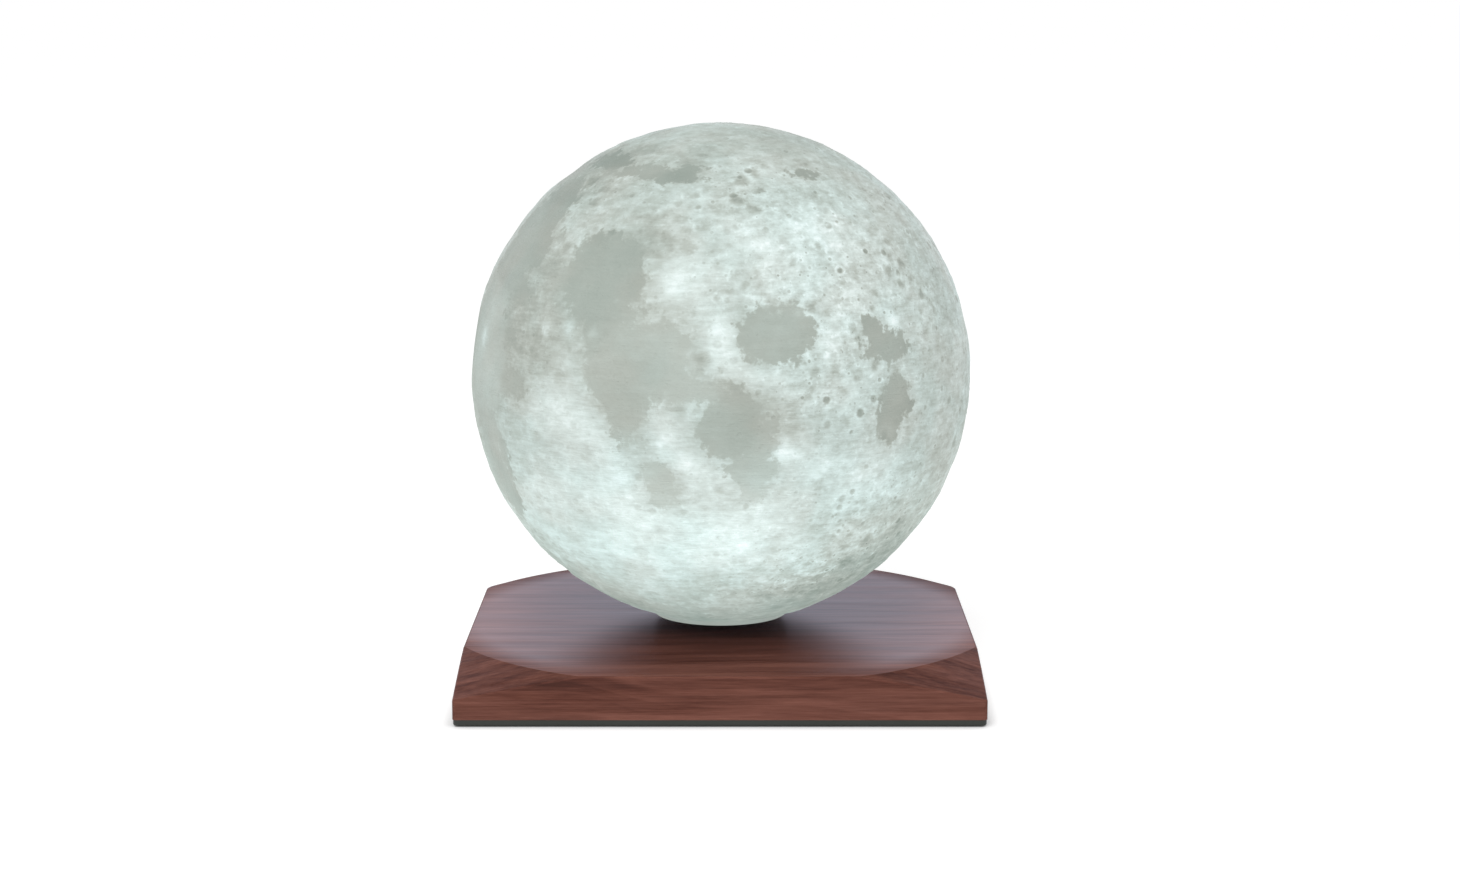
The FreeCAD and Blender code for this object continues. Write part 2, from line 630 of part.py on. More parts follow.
# ---- control board ----
def control_board():
    """A square board with a rear tongue for the power parts and a front one for the touch spring."""
    board = block(0, 0, BOARD_BOTTOM, BOARD_SIDE, BOARD_SIDE, BOARD_T)
    for width, side in ((REAR_TONGUE_WIDTH, 1), (FRONT_TONGUE_WIDTH, -1)):
        board = board.fuse(block(0, side * TONGUE_REACH / 2, BOARD_BOTTOM, width, TONGUE_REACH, BOARD_T))
    hole_r = BOARD_SCREW["shank_r"]
    holes = [cylinder(hole_r, BOARD_BOTTOM, FRAME_BOTTOM, x, y) for x, y in corners(BOARD_SCREW_AT)]
    keep("control_board", board.cut(holes).removeSplitter())
    screws = [pan_screw_up(x, y, BOARD_BOTTOM, **BOARD_SCREW) for x, y in corners(BOARD_SCREW_AT)]
    keep("board_screws", *screws)


def under_board(x, y, width, depth, height):
    """A chip that hangs under the board."""
    return block(x, y, BOARD_BOTTOM - height, width, depth, height)


def low_chips():
    keep("microcontroller", under_board(0, CONTROLLER_Y, CONTROLLER_SIDE, CONTROLLER_SIDE, CHIP_T))
    keep("transmit_driver", under_board(0, TX_DRIVER_Y, TX_DRIVER_SIDE, TX_DRIVER_SIDE, CHIP_T))
    drivers = on_circle(COIL_COUNT, COIL_DRIVER_ORBIT_R, 45)
    width, depth = COIL_DRIVER_WIDTH, COIL_DRIVER_DEPTH
    keep("coil_drivers", *[under_board(x, y, width, depth, CHIP_T) for x, y in drivers])
    row = [(k - (RESISTORS_PER_ROW - 1) / 2) * RESISTOR_PITCH for k in range(RESISTORS_PER_ROW)]
    places = [(x, y) for y in (-RESISTOR_ROW_Y, RESISTOR_ROW_Y) for x in row]
    width, depth = RESISTOR_WIDTH, RESISTOR_DEPTH
    keep("chip_resistors", *[under_board(x, y, width, depth, RESISTOR_T) for x, y in places])


def tall_parts():
    """The parts too tall for under the board stand on its rear tongue, behind the frame."""
    y = TALL_PARTS_Y
    bottom = FRAME_BOTTOM
    cans_x = [CAPACITOR_MIDDLE_X + k * CAPACITOR_PITCH for k in (-1, 0, 1)]
    keep("capacitors", *[cylinder(CAPACITOR_R, bottom, bottom + CAPACITOR_HEIGHT, x, y) for x in cans_x])
    inductor = block(INDUCTOR_X, y, bottom, INDUCTOR_SIDE, INDUCTOR_SIDE, INDUCTOR_HEIGHT)
    upright = [e for e in inductor.Edges if e.BoundBox.ZLength > INDUCTOR_HEIGHT / 2]
    keep("power_inductor", inductor.makeFillet(INDUCTOR_CORNER_R, upright))
    header = block(0, y, bottom, HEADER_WIDTH, HEADER_DEPTH, HEADER_HEIGHT)
    wall = HEADER_WALL
    room_width = HEADER_WIDTH - 2 * wall
    room_height = HEADER_HEIGHT - 2 * wall
    room = block(0, y + wall, bottom + wall, room_width, HEADER_DEPTH, room_height)
    keep("power_header", header.cut(room))


def touch_switch():
    """A copper pad under the wood feels a finger, and a bent leaf spring joins it to the board."""
    pad_bottom = POCKET_TOP - TOUCH_PAD_T
    keep("touch_pad", block(0, TOUCH_Y, pad_bottom, TOUCH_PAD_WIDTH, TOUCH_PAD_DEPTH, TOUCH_PAD_T))
    reach, bend = TOUCH_LEAF_REACH, TOUCH_LEAF_REACH / 3
    low, high = FRAME_BOTTOM, pad_bottom - TOUCH_LEAF_T
    under = [(-reach, low), (-bend, low), (bend, high), (reach, high)]
    over = [(x - TOUCH_LEAF_T / 2, z + TOUCH_LEAF_T) for x, z in reversed(under)]
    outline = [V(x, TOUCH_Y - TOUCH_LEAF_WIDTH / 2, z) for x, z in under + over]
    leaf = Part.Face(Part.makePolygon(outline + outline[:1]))
    keep("touch_spring", leaf.extrude(V(0, TOUCH_LEAF_WIDTH, 0)))


# ---- power inlet ----
def power_inlet():
    """A barrel socket from the rear face, held by a nut inside, with a centre pin and an outer tag."""
    z = INLET_HEIGHT
    socket_end = INLET_FACE - SOCKET_DEPTH
    mouth_end = INLET_FACE - MOUTH_DEPTH
    flange = along_back(INLET_FLANGE_R, INLET_FLANGE_BACK, INLET_FACE, z)
    body = flange.fuse(along_back(INLET_BARREL_R, INLET_BARREL_END, INLET_FLANGE_BACK, z))
    mouth = along_back(MOUTH_R, mouth_end, INLET_FACE, z)
    socket = along_back(SOCKET_R, socket_end, mouth_end, z)
    pin_hole = along_back(CENTRE_PIN_R, INLET_BARREL_END, socket_end, z)
    body = body.cut([mouth, socket, pin_hole]).removeSplitter()
    face_edges = [e for e in body.Edges if e.BoundBox.YMin > INLET_FACE - 0.05]
    rim = max(face_edges, key=lambda e: e.BoundBox.XLength)
    keep("inlet_body", body.makeFillet(INLET_EASE, [rim]))

    tip_y = INLET_FACE - CENTRE_PIN_SETBACK
    pin = along_back(CENTRE_PIN_R, INLET_BARREL_END - INLET_TAIL, tip_y, z)
    tip = [e for e in pin.Edges if e.BoundBox.YMin > tip_y - 0.05]
    keep("inlet_pin", pin.makeFillet(CENTRE_PIN_R / 2, tip))
    tag_y = INLET_BARREL_END - INLET_TAIL
    tag_z = z + INLET_BARREL_R - 2 * INLET_TAG_T
    tag_corner = V(-INLET_TAG_WIDTH / 2, tag_y, tag_z)
    keep("inlet_tag", Part.makeBox(INLET_TAG_WIDTH, INLET_TAIL, INLET_TAG_T, tag_corner))

    hexagon = [V(x, INLET_WALL_BACK, z + up) for x, up in on_circle(6, INLET_NUT_R, 90)]
    nut = Part.Face(Part.makePolygon(hexagon + hexagon[:1])).extrude(V(0, -INLET_NUT_T, 0))
    nut_hole = along_back(INLET_BARREL_R, INLET_WALL_BACK - INLET_NUT_T, INLET_WALL_BACK, z)
    keep("inlet_nut", nut.cut(nut_hole))
    keep("positive_lead", power_lead(z, -HEADER_WIDTH / 4))
    keep("negative_lead", power_lead(tag_z + INLET_TAG_T / 2, HEADER_WIDTH / 4))


def power_lead(start_z, header_x):
    """A lead from the inlet's tail, at start_z, to the back wall of the header's room."""
    start_y = INLET_BARREL_END - INLET_TAIL
    mouth_y = TALL_PARTS_Y + HEADER_DEPTH / 2
    end_y = mouth_y - HEADER_DEPTH + HEADER_WALL
    end_z = FRAME_BOTTOM + HEADER_HEIGHT / 2
    route = [
        (0.0, start_y, start_z),
        (0.0, start_y - POWER_LEAD_STRAIGHT, start_z),
        (header_x, mouth_y, end_z),
        (header_x, end_y, end_z),
    ]
    return wire_run(route, POWER_LEAD_BEND, POWER_LEAD_R)


# ---- moon ----
def towards(latitude, longitude):
    """The unit vector from the moon's centre through a place on its surface."""
    lat, lon = math.radians(latitude), math.radians(longitude - FACING_LONGITUDE)
    upright = V(math.cos(lat) * math.sin(lon), -math.cos(lat) * math.cos(lon), math.sin(lat))
    return FreeCAD.Rotation(BACK, MOON_LEAN).multVec(upright)


def hollow_ball(direction, rim_angle, depth):
    """The ball through a hollow's rim and floor, and whether the moon keeps what is inside it.

    A deep narrow hollow is curved inwards, so its ball lies outside and is cut away. A broad
    shallow one still bulges outwards, so its ball is larger than the moon and holds it.
    """
    rim_r = MOON_R * math.sin(rim_angle)
    rim_height = MOON_R * math.cos(rim_angle)
    floor = MOON_R - depth
    rise = rim_height - floor
    ball_r = (rim_r**2 + rise**2) / (2 * abs(rise))
    centre = floor + math.copysign(ball_r, rise)
    return Part.makeSphere(ball_r, V(0, 0, MOON_CENTRE) + direction * centre), rise < 0


def moon_surface():
    """The outer ball with its seas as broad shallow hollows and its craters as small ones."""
    hollows = [(lat, lon, math.radians(radius), BASIN_DEPTH) for lat, lon, radius in BASINS.values()]
    hollows += [(lat, lon, radius / MOON_R, CRATER_DEPTH) for lat, lon, radius in CRATERS]
    moon = Part.makeSphere(MOON_R, V(0, 0, MOON_CENTRE))
    cuts = []
    for latitude, longitude, rim_angle, depth in hollows:
        ball, keeps_inside = hollow_ball(towards(latitude, longitude), rim_angle, depth)
        if keeps_inside:
            moon = moon.common(ball)
        else:
            cuts.append(ball)
    return moon.cut(cuts)


def moon_shell():
    """A printed shell with a flat bottom, and a thick seat round its bore for the cap."""
    seat_top = CUT_HEIGHT + SEAT_T
    hollow = Part.makeSphere(MOON_R - SHELL_T, V(0, 0, MOON_CENTRE))
    hollow = hollow.cut(cylinder(SEAT_R, CUT_HEIGHT - MOON_R, seat_top))
    below = block(0, 0, CUT_HEIGHT - MOON_R, 3 * MOON_R, 3 * MOON_R, MOON_R)
    cuts = [hollow, below, cylinder(CAP_BORE_R, CUT_HEIGHT, seat_top)]
    for x, y in on_circle(3, CAP_SCREW_ORBIT_R, 90):
        reach = FLANGE_BOTTOM + CAP_SCREW["length"]
        cuts.append(cylinder(CAP_SCREW["shank_r"], CUT_HEIGHT, reach, x, y))
    keep("moon_shell", moon_surface().cut(cuts))


def moon_cap():
    """The flanged cup that closes the moon from below and holds its magnet, coil and boards."""
    outline = [
        (0, FLANGE_BOTTOM),
        (CAP_FLANGE_R, FLANGE_BOTTOM),
        (CAP_FLANGE_R, CUT_HEIGHT),
        (CAP_R, CUT_HEIGHT),
        (CAP_R, SPREADER_BOTTOM),
        (CAP_LIP_R, SPREADER_BOTTOM),
        (CAP_LIP_R, RETAINER_BOTTOM),
        (CAP_IN_R, RETAINER_BOTTOM),
        (CAP_IN_R, CAP_FLOOR),
        (0, CAP_FLOOR),
    ]
    cup = turned(outline)
    rim = [e for e in cup.Edges if e.BoundBox.ZMax < FLANGE_BOTTOM + 0.05 and e.BoundBox.XLength > CAP_R]
    cup = cup.makeFillet(0.5, rim)
    screw_at = on_circle(3, CAP_SCREW_ORBIT_R, 90)
    cuts = [sunk_hole(x, y, FLANGE_BOTTOM, CUT_HEIGHT, CAP_SCREW) for x, y in screw_at]
    height = RETAINER_BOTTOM - CAP_FLOOR
    depth = 2 * (CAP_LIP_R - LEAD_GROOVE_Y)
    for side in (-1, 1):
        cuts.append(block(side * LEAD_GROOVE_X, LEAD_GROOVE_Y, CAP_FLOOR, LEAD_GROOVE_WIDTH, depth, height))
    keep("moon_cap", cup.cut(cuts))
    keep("cap_screws", *[sunk_screw_up(x, y, FLANGE_BOTTOM, **CAP_SCREW) for x, y in screw_at])


def receiver():
    keep("receiver_coil", ring(DISC_MAGNET_R, RX_IN_R, CAP_FLOOR, RX_TOP))
    keep("receiver_sheet", cylinder(DISC_MAGNET_R, RX_TOP, RX_SHEET_TOP))
    start_z = CAP_FLOOR + RX_T / 2
    over_z = RECTIFIER_TOP + RECEIVER_LEAD_HUMP
    down_y = RECTIFIER_R - RECEIVER_LEAD_INSET
    leads = []
    for side in (-1, 1):
        x = side * LEAD_GROOVE_X
        route = [
            (x, DISC_MAGNET_R - 0.1, start_z),
            (x, LEAD_GROOVE_Y, start_z),
            (x, LEAD_GROOVE_Y, over_z),
            (x, down_y, over_z),
            (x, down_y, RECTIFIER_TOP),
        ]
        leads.append(wire_run(route, RECEIVER_LEAD_BEND, RECEIVER_LEAD_R))
    keep("receiver_leads", *leads)


def float_magnet():
    magnet = cylinder(DISC_MAGNET_R, MAGNET_BOTTOM, MAGNET_TOP)
    keep("float_magnet", magnet.makeChamfer(0.4, magnet.Edges[:1] + magnet.Edges[2:]))


def magnet_retainer():
    """A disc on the cup's ledge keeps the magnet down, and its three posts carry the LED disc."""
    posts = on_circle(3, POST_ORBIT_R, 30)
    disc = cylinder(CAP_LIP_R, RETAINER_BOTTOM, RETAINER_TOP)
    disc = disc.fuse([cylinder(POST_R, RETAINER_TOP, SPREADER_BOTTOM, x, y) for x, y in posts])
    pads = on_circle(3, RECTIFIER_R * 0.7, 90)
    disc = disc.fuse([cylinder(RECTIFIER_PAD_R, RETAINER_TOP, RECTIFIER_BOTTOM, x, y) for x, y in pads])
    screw_reach = LED_BOARD_TOP - LED_SCREW["length"]
    cuts = [cylinder(LED_SCREW["shank_r"], screw_reach, SPREADER_BOTTOM, x, y) for x, y in posts]
    notch_y = LEAD_GROOVE_Y - RECEIVER_LEAD_R - 0.2 + CAP_LIP_R / 2
    for side in (-1, 1):
        x = side * LEAD_GROOVE_X
        cuts.append(block(x, notch_y, RETAINER_BOTTOM, LEAD_GROOVE_WIDTH, CAP_LIP_R, RETAINER_T))
    keep("magnet_retainer", disc.cut(cuts).removeSplitter())


def rectifier():
    keep("rectifier_board", cylinder(RECTIFIER_R, RECTIFIER_BOTTOM, RECTIFIER_TOP))
    top = RECTIFIER_TOP
    bridge = block(0.0, BRIDGE_Y, top, BRIDGE_WIDTH, BRIDGE_DEPTH, BRIDGE_T)
    store = [cylinder(STORE_R, top, top + STORE_HEIGHT, x, STORE_Y) for x in (-STORE_X, STORE_X)]
    driver = block(0.0, LED_DRIVER_Y, top, LED_DRIVER_WIDTH, LED_DRIVER_DEPTH, LED_DRIVER_T)
    keep("rectifier_chips", bridge, driver)
    keep("rectifier_capacitors", *store)


def led_unit():
    posts = on_circle(3, POST_ORBIT_R, 30)
    leads_at = [(-LED_LEAD_X, LED_LEAD_Y), (LED_LEAD_X, LED_LEAD_Y)]
    spreader = cylinder(CAP_R, SPREADER_BOTTOM, SPREADER_TOP)
    holes = [cylinder(LED_SCREW["shank_r"], SPREADER_BOTTOM, LED_BOARD_TOP, x, y) for x, y in posts]
    lead_holes = [cylinder(LED_LEAD_R + 0.4, SPREADER_BOTTOM, SPREADER_TOP, x, y) for x, y in leads_at]
    keep("heat_spreader", spreader.cut(holes + lead_holes))
    keep("led_board", cylinder(LED_BOARD_R, SPREADER_TOP, LED_BOARD_TOP).cut(holes))
    outer_ring = on_circle(8, LED_BOARD_R * 0.64, 8)
    inner_ring = on_circle(4, LED_BOARD_R * 0.3)
    chips = [block(x, y, LED_BOARD_TOP, LED_SIDE, LED_SIDE, LED_T) for x, y in outer_ring + inner_ring]
    keep("leds", *chips)
    keep("led_screws", *[pan_screw_down(x, y, LED_BOARD_TOP, **LED_SCREW) for x, y in posts])
    keep("led_leads", *[cylinder(LED_LEAD_R, RECTIFIER_TOP, SPREADER_TOP, x, y) for x, y in leads_at])


def light_dome():
    """The frosted dome over the LEDs, seated on the rim of the heat spreader."""

    def round_topped(r):
        top = SPREADER_TOP + DOME_RIM
        half_ball = Part.makeSphere(r, V(0, 0, top), UP, 0, 90, 360)
        return cylinder(r, SPREADER_TOP, top).fuse(half_ball)

    keep("light_dome", round_topped(DOME_R).cut(round_topped(DOME_R - DOME_T)).removeSplitter())


def main():
    wood_base()
    bottom_cover()
    module_frame()
    base_magnets()
    electromagnets()
    transmitter()
    position_sensors()
    control_board()
    low_chips()
    tall_parts()
    touch_switch()
    power_inlet()
    moon_shell()
    moon_cap()
    receiver()
    float_magnet()
    magnet_retainer()
    rectifier()
    led_unit()
    light_dome()
    os.makedirs("parts", exist_ok=True)
    for name, shape in PARTS.items():
        shape.exportStep(os.path.join("parts", name + ".step"))
        volume = shape.Volume / 1000
        print(f"{name}: {len(shape.Solids)} solid(s), {volume:.2f} cm3, valid {shape.isValid()}")
    print(f"moon centre at z {MOON_CENTRE:.2f}")


main()
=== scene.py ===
# %% [markdown]
# # A moon lamp, dressed for its picture
#
# The lamp is a printed moon that floats over a square walnut base. The solid model gives us every
# piece in its place, in metres. In this lesson we keep those pieces, give each one the finish that
# the real one has, and rebuild one of them, the moon, because its surface needs far finer relief
# than a solid model carries.

# %% Load the solid model
import json
import math

import bmesh
import bpy
import numpy as np
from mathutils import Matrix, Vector


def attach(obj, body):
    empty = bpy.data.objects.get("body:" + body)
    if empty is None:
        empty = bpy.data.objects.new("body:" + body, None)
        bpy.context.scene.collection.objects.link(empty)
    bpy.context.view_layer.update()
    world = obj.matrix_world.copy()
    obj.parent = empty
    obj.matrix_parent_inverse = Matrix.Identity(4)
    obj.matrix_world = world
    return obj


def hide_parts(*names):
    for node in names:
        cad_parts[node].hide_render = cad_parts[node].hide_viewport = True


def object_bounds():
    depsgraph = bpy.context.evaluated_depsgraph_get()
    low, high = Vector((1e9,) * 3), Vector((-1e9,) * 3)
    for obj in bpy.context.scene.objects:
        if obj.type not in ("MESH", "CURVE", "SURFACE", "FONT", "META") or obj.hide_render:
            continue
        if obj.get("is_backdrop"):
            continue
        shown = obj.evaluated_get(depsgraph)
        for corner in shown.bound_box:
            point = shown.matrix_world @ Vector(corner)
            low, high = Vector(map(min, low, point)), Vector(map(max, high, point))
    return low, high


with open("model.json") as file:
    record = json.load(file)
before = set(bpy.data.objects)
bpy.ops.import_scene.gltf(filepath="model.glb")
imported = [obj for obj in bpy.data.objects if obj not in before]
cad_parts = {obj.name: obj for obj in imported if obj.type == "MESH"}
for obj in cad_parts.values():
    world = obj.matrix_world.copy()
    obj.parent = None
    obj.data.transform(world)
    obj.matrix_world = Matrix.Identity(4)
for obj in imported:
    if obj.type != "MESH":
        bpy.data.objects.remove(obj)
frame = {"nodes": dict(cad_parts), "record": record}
cad_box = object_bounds()
print("pieces in the frame:", len(frame["nodes"]), "box:", [round(v, 4) for p in cad_box for v in p])

# %% [markdown]
# ## The camera
#
# The picture was taken from about a metre in front, a little above the moon's middle, looking
# slightly down. A long lens this far away keeps the base's sides nearly upright. We turn the camera
# by its tilt alone, so upright edges stay upright.

# %% Camera
CAMERA_AT = (0.0034, -0.991, 0.247)
CAMERA_TILT = 0.1649  # radians below the horizon
LENS = 68.2


def added(name, data):
    """A new object, put into the scene."""
    made = bpy.data.objects.new(name, data)
    bpy.context.scene.collection.objects.link(made)
    return made


camera = added("camera", bpy.data.cameras.new("camera"))
camera.location = CAMERA_AT
camera.rotation_euler = (math.pi / 2 - CAMERA_TILT, 0, 0)
camera.data.sensor_fit = "HORIZONTAL"
camera.data.sensor_width = 36.0
camera.data.lens = LENS
camera.data.clip_start, camera.data.clip_end = 0.01, 100.0
bpy.context.scene.camera = camera
bpy.context.scene.view_settings.view_transform = "Standard"
print("camera at", CAMERA_AT, "lens", LENS)

# %% [markdown]
# ## Small helpers
#
# Every finish here is a tree of nodes. Wiring them by hand takes many lines, so we write a few
# helpers first. The first ones fill sockets and add nodes, the next do arithmetic and mix colours,
# and the last begin a group or a finish. The lesson then reads almost like a recipe.

# %% Helpers for node trees
def put(tree, socket, value):
    """Links an output into a socket, or sets a plain value on it."""
    if isinstance(value, bpy.types.NodeSocket):
        tree.links.new(value, socket)
    else:
        socket.default_value = value


def fill(tree, made, **inputs):
    """Fills a node's sockets by their names, with _ for a space."""
    for name, value in inputs.items():
        put(tree, made.inputs[name.replace("_", " ")], value)


def node(tree, kind, settings=None, **inputs):
    """Adds a node. settings are its own properties, and inputs fill its sockets."""
    made = tree.nodes.new(kind)
    for name, value in (settings or {}).items():
        setattr(made, name, value)
    fill(tree, made, **inputs)
    return made


def in_order(tree, sockets, values):
    """Fills sockets one after another, where their names repeat."""
    for socket, value in zip(sockets, values):
        put(tree, socket, value)


def maths(tree, operation, *values):
    """Arithmetic on numbers, such as ADD or MULTIPLY."""
    made = node(tree, "ShaderNodeMath", {"operation": operation})
    in_order(tree, made.inputs, values)
    return made.outputs[0]


def times(tree, value, *others):
    """Numbers multiplied together."""
    for other in others:
        value = maths(tree, "MULTIPLY", value, other)
    return value


def plus(tree, value, *terms):
    """A value plus each (source, amount) in turn."""
    for source, amount in terms:
        value = maths(tree, "MULTIPLY_ADD", source, amount, value)
    return value


def vectors(tree, operation, *values):
    """Arithmetic on vectors; the answer is a number for LENGTH and DISTANCE, or else a vector."""
    made = node(tree, "ShaderNodeVectorMath", {"operation": operation})
    in_order(tree, made.inputs, values)
    return made.outputs["Value" if operation in ("LENGTH", "DISTANCE") else "Vector"]


def scaled(tree, vector, factor):
    """A vector times a number."""
    made = node(tree, "ShaderNodeVectorMath", {"operation": "SCALE"}, Scale=factor)
    put(tree, made.inputs[0], vector)
    return made.outputs["Vector"]


def stretched(tree, vector, factors):
    """A vector with each axis scaled by itself, which squeezes the pattern that reads it."""
    return vectors(tree, "MULTIPLY", vector, factors)


def parts(tree, vector):
    """A vector's X, Y and Z."""
    return node(tree, "ShaderNodeSeparateXYZ", Vector=vector).outputs


def step(tree, value, low, high, to_low=0.0, to_high=1.0):
    """A soft step: to_low below low, to_high above high, and a smooth curve between."""
    return node(tree, "ShaderNodeMapRange", {"interpolation_type": "SMOOTHSTEP"}, Value=value, From_Min=low,
                From_Max=high, To_Min=to_low, To_Max=to_high).outputs["Result"]


def blend(tree, factor, a, b, mode="MIX"):
    """One colour over another."""
    made = node(tree, "ShaderNodeMix", {"data_type": "RGBA", "blend_type": mode})
    in_order(tree, (made.inputs[0], made.inputs[6], made.inputs[7]), (factor, a, b))
    return made.outputs[2]


def noise(tree, vector, scale, detail=2.0, roughness=0.5):
    """Cloudy noise, mostly within 0.2 of zero."""
    made = node(tree, "ShaderNodeTexNoise", Vector=vector, Scale=scale, Detail=detail, Roughness=roughness)
    return maths(tree, "SUBTRACT", made.outputs[0], 0.5)


def linear(value):
    """A screen value, 0 to 255, as the linear value that nodes take."""
    value = value / 255
    return value / 12.92 if value <= 0.04 else ((value + 0.055) / 1.055) ** 2.4


def shade(red, green, blue):
    """A colour as it is read off a screen."""
    return (linear(red), linear(green), linear(blue), 1.0)


def colour_ramp(tree, value, stops):
    """Colours along a value, from (value, colour) stops."""
    low, high = stops[0][0], stops[-1][0]
    placed = node(tree, "ShaderNodeMapRange", Value=value, From_Min=low, From_Max=high)
    ramp = node(tree, "ShaderNodeValToRGB", Fac=placed.outputs["Result"])
    while len(ramp.color_ramp.elements) < len(stops):
        ramp.color_ramp.elements.new(0.5)
    for stop, (at, colour) in zip(ramp.color_ramp.elements, stops):
        stop.position, stop.color = (at - low) / (high - low), shade(*colour)
    return ramp.outputs[0]


SOCKETS = {float: "NodeSocketFloat", int: "NodeSocketInt", tuple: "NodeSocketColor"}


def new_group(name, kind, inputs, outputs):
    """A node group, what it is given, and where its results go. An input is its usual value, or the
    kind of socket where it has none."""
    tree = bpy.data.node_groups.new(name, kind)
    for label, value in inputs.items():
        socket = value if isinstance(value, str) else SOCKETS[type(value)]
        made = tree.interface.new_socket(label, in_out="INPUT", socket_type=socket)
        if socket != value:
            made.default_value = value
    for label, socket in outputs.items():
        tree.interface.new_socket(label, in_out="OUTPUT", socket_type=socket)
    return tree, tree.nodes.new("NodeGroupInput").outputs, tree.nodes.new("NodeGroupOutput").inputs


def end_tree(tree, geometry, material, result):
    """Ends a Geometry Nodes tree with real geometry that has its material."""
    real = node(tree, "GeometryNodeRealizeInstances", Geometry=geometry)
    dressed = node(tree, "GeometryNodeSetMaterial", Geometry=real.outputs[0], Material=material)
    tree.links.new(dressed.outputs[0], result)


def grouped(tree, group, place, **inputs):
    """Places a shared group in a finish with its own values."""
    return node(tree, "ShaderNodeGroup", {"node_tree": group}, Place=place, **inputs).outputs


def new_material(name):
    """An empty finish: the material, its tree, its main shader and the object's own coordinates."""
    material = bpy.data.materials.new(name)
    material.use_nodes = True
    tree = material.node_tree
    shader = tree.nodes["Principled BSDF"]
    return material, tree, shader, node(tree, "ShaderNodeTexCoord").outputs["Object"]


def bumped(tree, shader, height, distance):
    """Lights the surface as if height, times distance in metres, stood out from it."""
    bump = node(tree, "ShaderNodeBump", Height=height, Distance=distance)
    tree.links.new(bump.outputs["Normal"], shader.inputs["Normal"])


def camera_ray(tree):
    """1 for what the camera sees directly, 0 for any other light."""
    return node(tree, "ShaderNodeLightPath").outputs["Is Camera Ray"]


def seen_ray(tree):
    """1 for what the camera sees, directly, in a reflection or through glass; 0 for other light."""
    ray = node(tree, "ShaderNodeLightPath").outputs
    seen = maths(tree, "ADD", ray["Is Camera Ray"], ray["Is Glossy Ray"])
    return maths(tree, "ADD", seen, ray["Is Transmission Ray"])


def mixed(tree, factor, first, second, output="Material Output"):
    """Two shaders by a factor, into the tree's output node."""
    mix = tree.nodes.new("ShaderNodeMixShader")
    in_order(tree, mix.inputs, (factor, first.outputs[0], second.outputs[0]))
    tree.links.new(mix.outputs[0], tree.nodes[output].inputs["Surface"])


print("helpers ready")

# %% [markdown]
# ## The studio
#
# The lamp stands on white and the white goes on to the horizon. A soft sky lights it from all
# round, and one large soft lamp, above the camera and a little to its left, makes round things look
# round. The varnish mirrors bright walls with a touch of blue, but a dark ceiling, which is why
# only the flat top looks hazy: its shine comes from low down. The floor must come out as plain
# white and still take a shadow. So it asks what kind of ray is looking at it: what the camera sees
# gets some light of its own, and what only lights the lamp does not.

# %% Sky and lamp
SKY_LIGHT = 0.60
CEILING = 0.18
MIRRORED_WALLS = (1.33, 1.31, 1.56, 1)  # as the varnish shows them: bright and a little blue
WALL_TOP = (0.30, 0.50)  # height of a ray, as a sine, where the walls end and the ceiling begins
LAMP_POWER = 21.0
LAMP_AT = (-0.35, -1.35, 1.45)
LAMP_AIM = (0, 0, 0.08)
LAMP_SIZE = 1.2

world = bpy.data.worlds.new("white_sky")
bpy.context.scene.world = world
world.use_nodes = True
sky = world.node_tree
plain_sky = sky.nodes["Background"]
fill(sky, plain_sky, Color=(1, 1, 1, 1), Strength=SKY_LIGHT)
ray_height = parts(sky, node(sky, "ShaderNodeTexCoord").outputs["Generated"])["Z"]
room_light = step(sky, ray_height, *WALL_TOP, 1.0, CEILING)
mirrored = node(sky, "ShaderNodeLightPath").outputs["Is Glossy Ray"]
wall_colour = blend(sky, mirrored, (1, 1, 1, 1), MIRRORED_WALLS)
seen_sky = node(sky, "ShaderNodeBackground", Color=wall_colour, Strength=room_light)
mixed(sky, seen_ray(sky), plain_sky, seen_sky, "World Output")

lamp = added("studio_lamp", bpy.data.lights.new("studio_lamp", "AREA"))
lamp.data.energy = LAMP_POWER
lamp.data.shape = "DISK"
lamp.data.size = LAMP_SIZE
lamp.location = LAMP_AT
lamp.visible_glossy = False  # its light is soft, so no edge may mirror it as a line
lamp.rotation_euler = (Vector(LAMP_AIM) - lamp.location).to_track_quat("-Z", "Y").to_euler()
print("sky", SKY_LIGHT, "lamp", LAMP_POWER, "W")

# %% Floor
FLOOR_HALF = 40.0
FLOOR_GREY = 0.8  # for the light that reaches the lamp
SEEN_GREY = 0.42  # for the camera, which sees the floor's own light on top
FLOOR_GLOW = 0.75
CONTACT_REACH = 0.006  # how far from the lamp the floor's own light fades: a painted contact shadow

floor_mesh = bpy.data.meshes.new("floor")
corners = [(x * FLOOR_HALF, y * FLOOR_HALF, 0) for x, y in ((-1, -1), (1, -1), (1, 1), (-1, 1))]
floor_mesh.from_pydata(corners, [], [(0, 1, 2, 3)])
floor = added("floor", floor_mesh)
floor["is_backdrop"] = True

floor_finish, tree, plain_floor, _ = new_material("white_floor")
seen_floor = node(tree, "ShaderNodeBsdfPrincipled", Emission_Strength=FLOOR_GLOW)
for side, grey in ((plain_floor, FLOOR_GREY), (seen_floor, SEEN_GREY)):
    fill(tree, side, Base_Color=(grey, grey, grey, 1), Roughness=1.0, Specular_IOR_Level=0.0)
# painted contact shadow: occlusion dims the floor's own light next to the lamp
contact = node(tree, "ShaderNodeAmbientOcclusion", {"samples": 8}, Distance=CONTACT_REACH)
fill(tree, seen_floor, Emission_Color=contact.outputs["Color"])
mixed(tree, seen_ray(tree), plain_floor, seen_floor)
floor_mesh.materials.append(floor_finish)
print("floor ready")

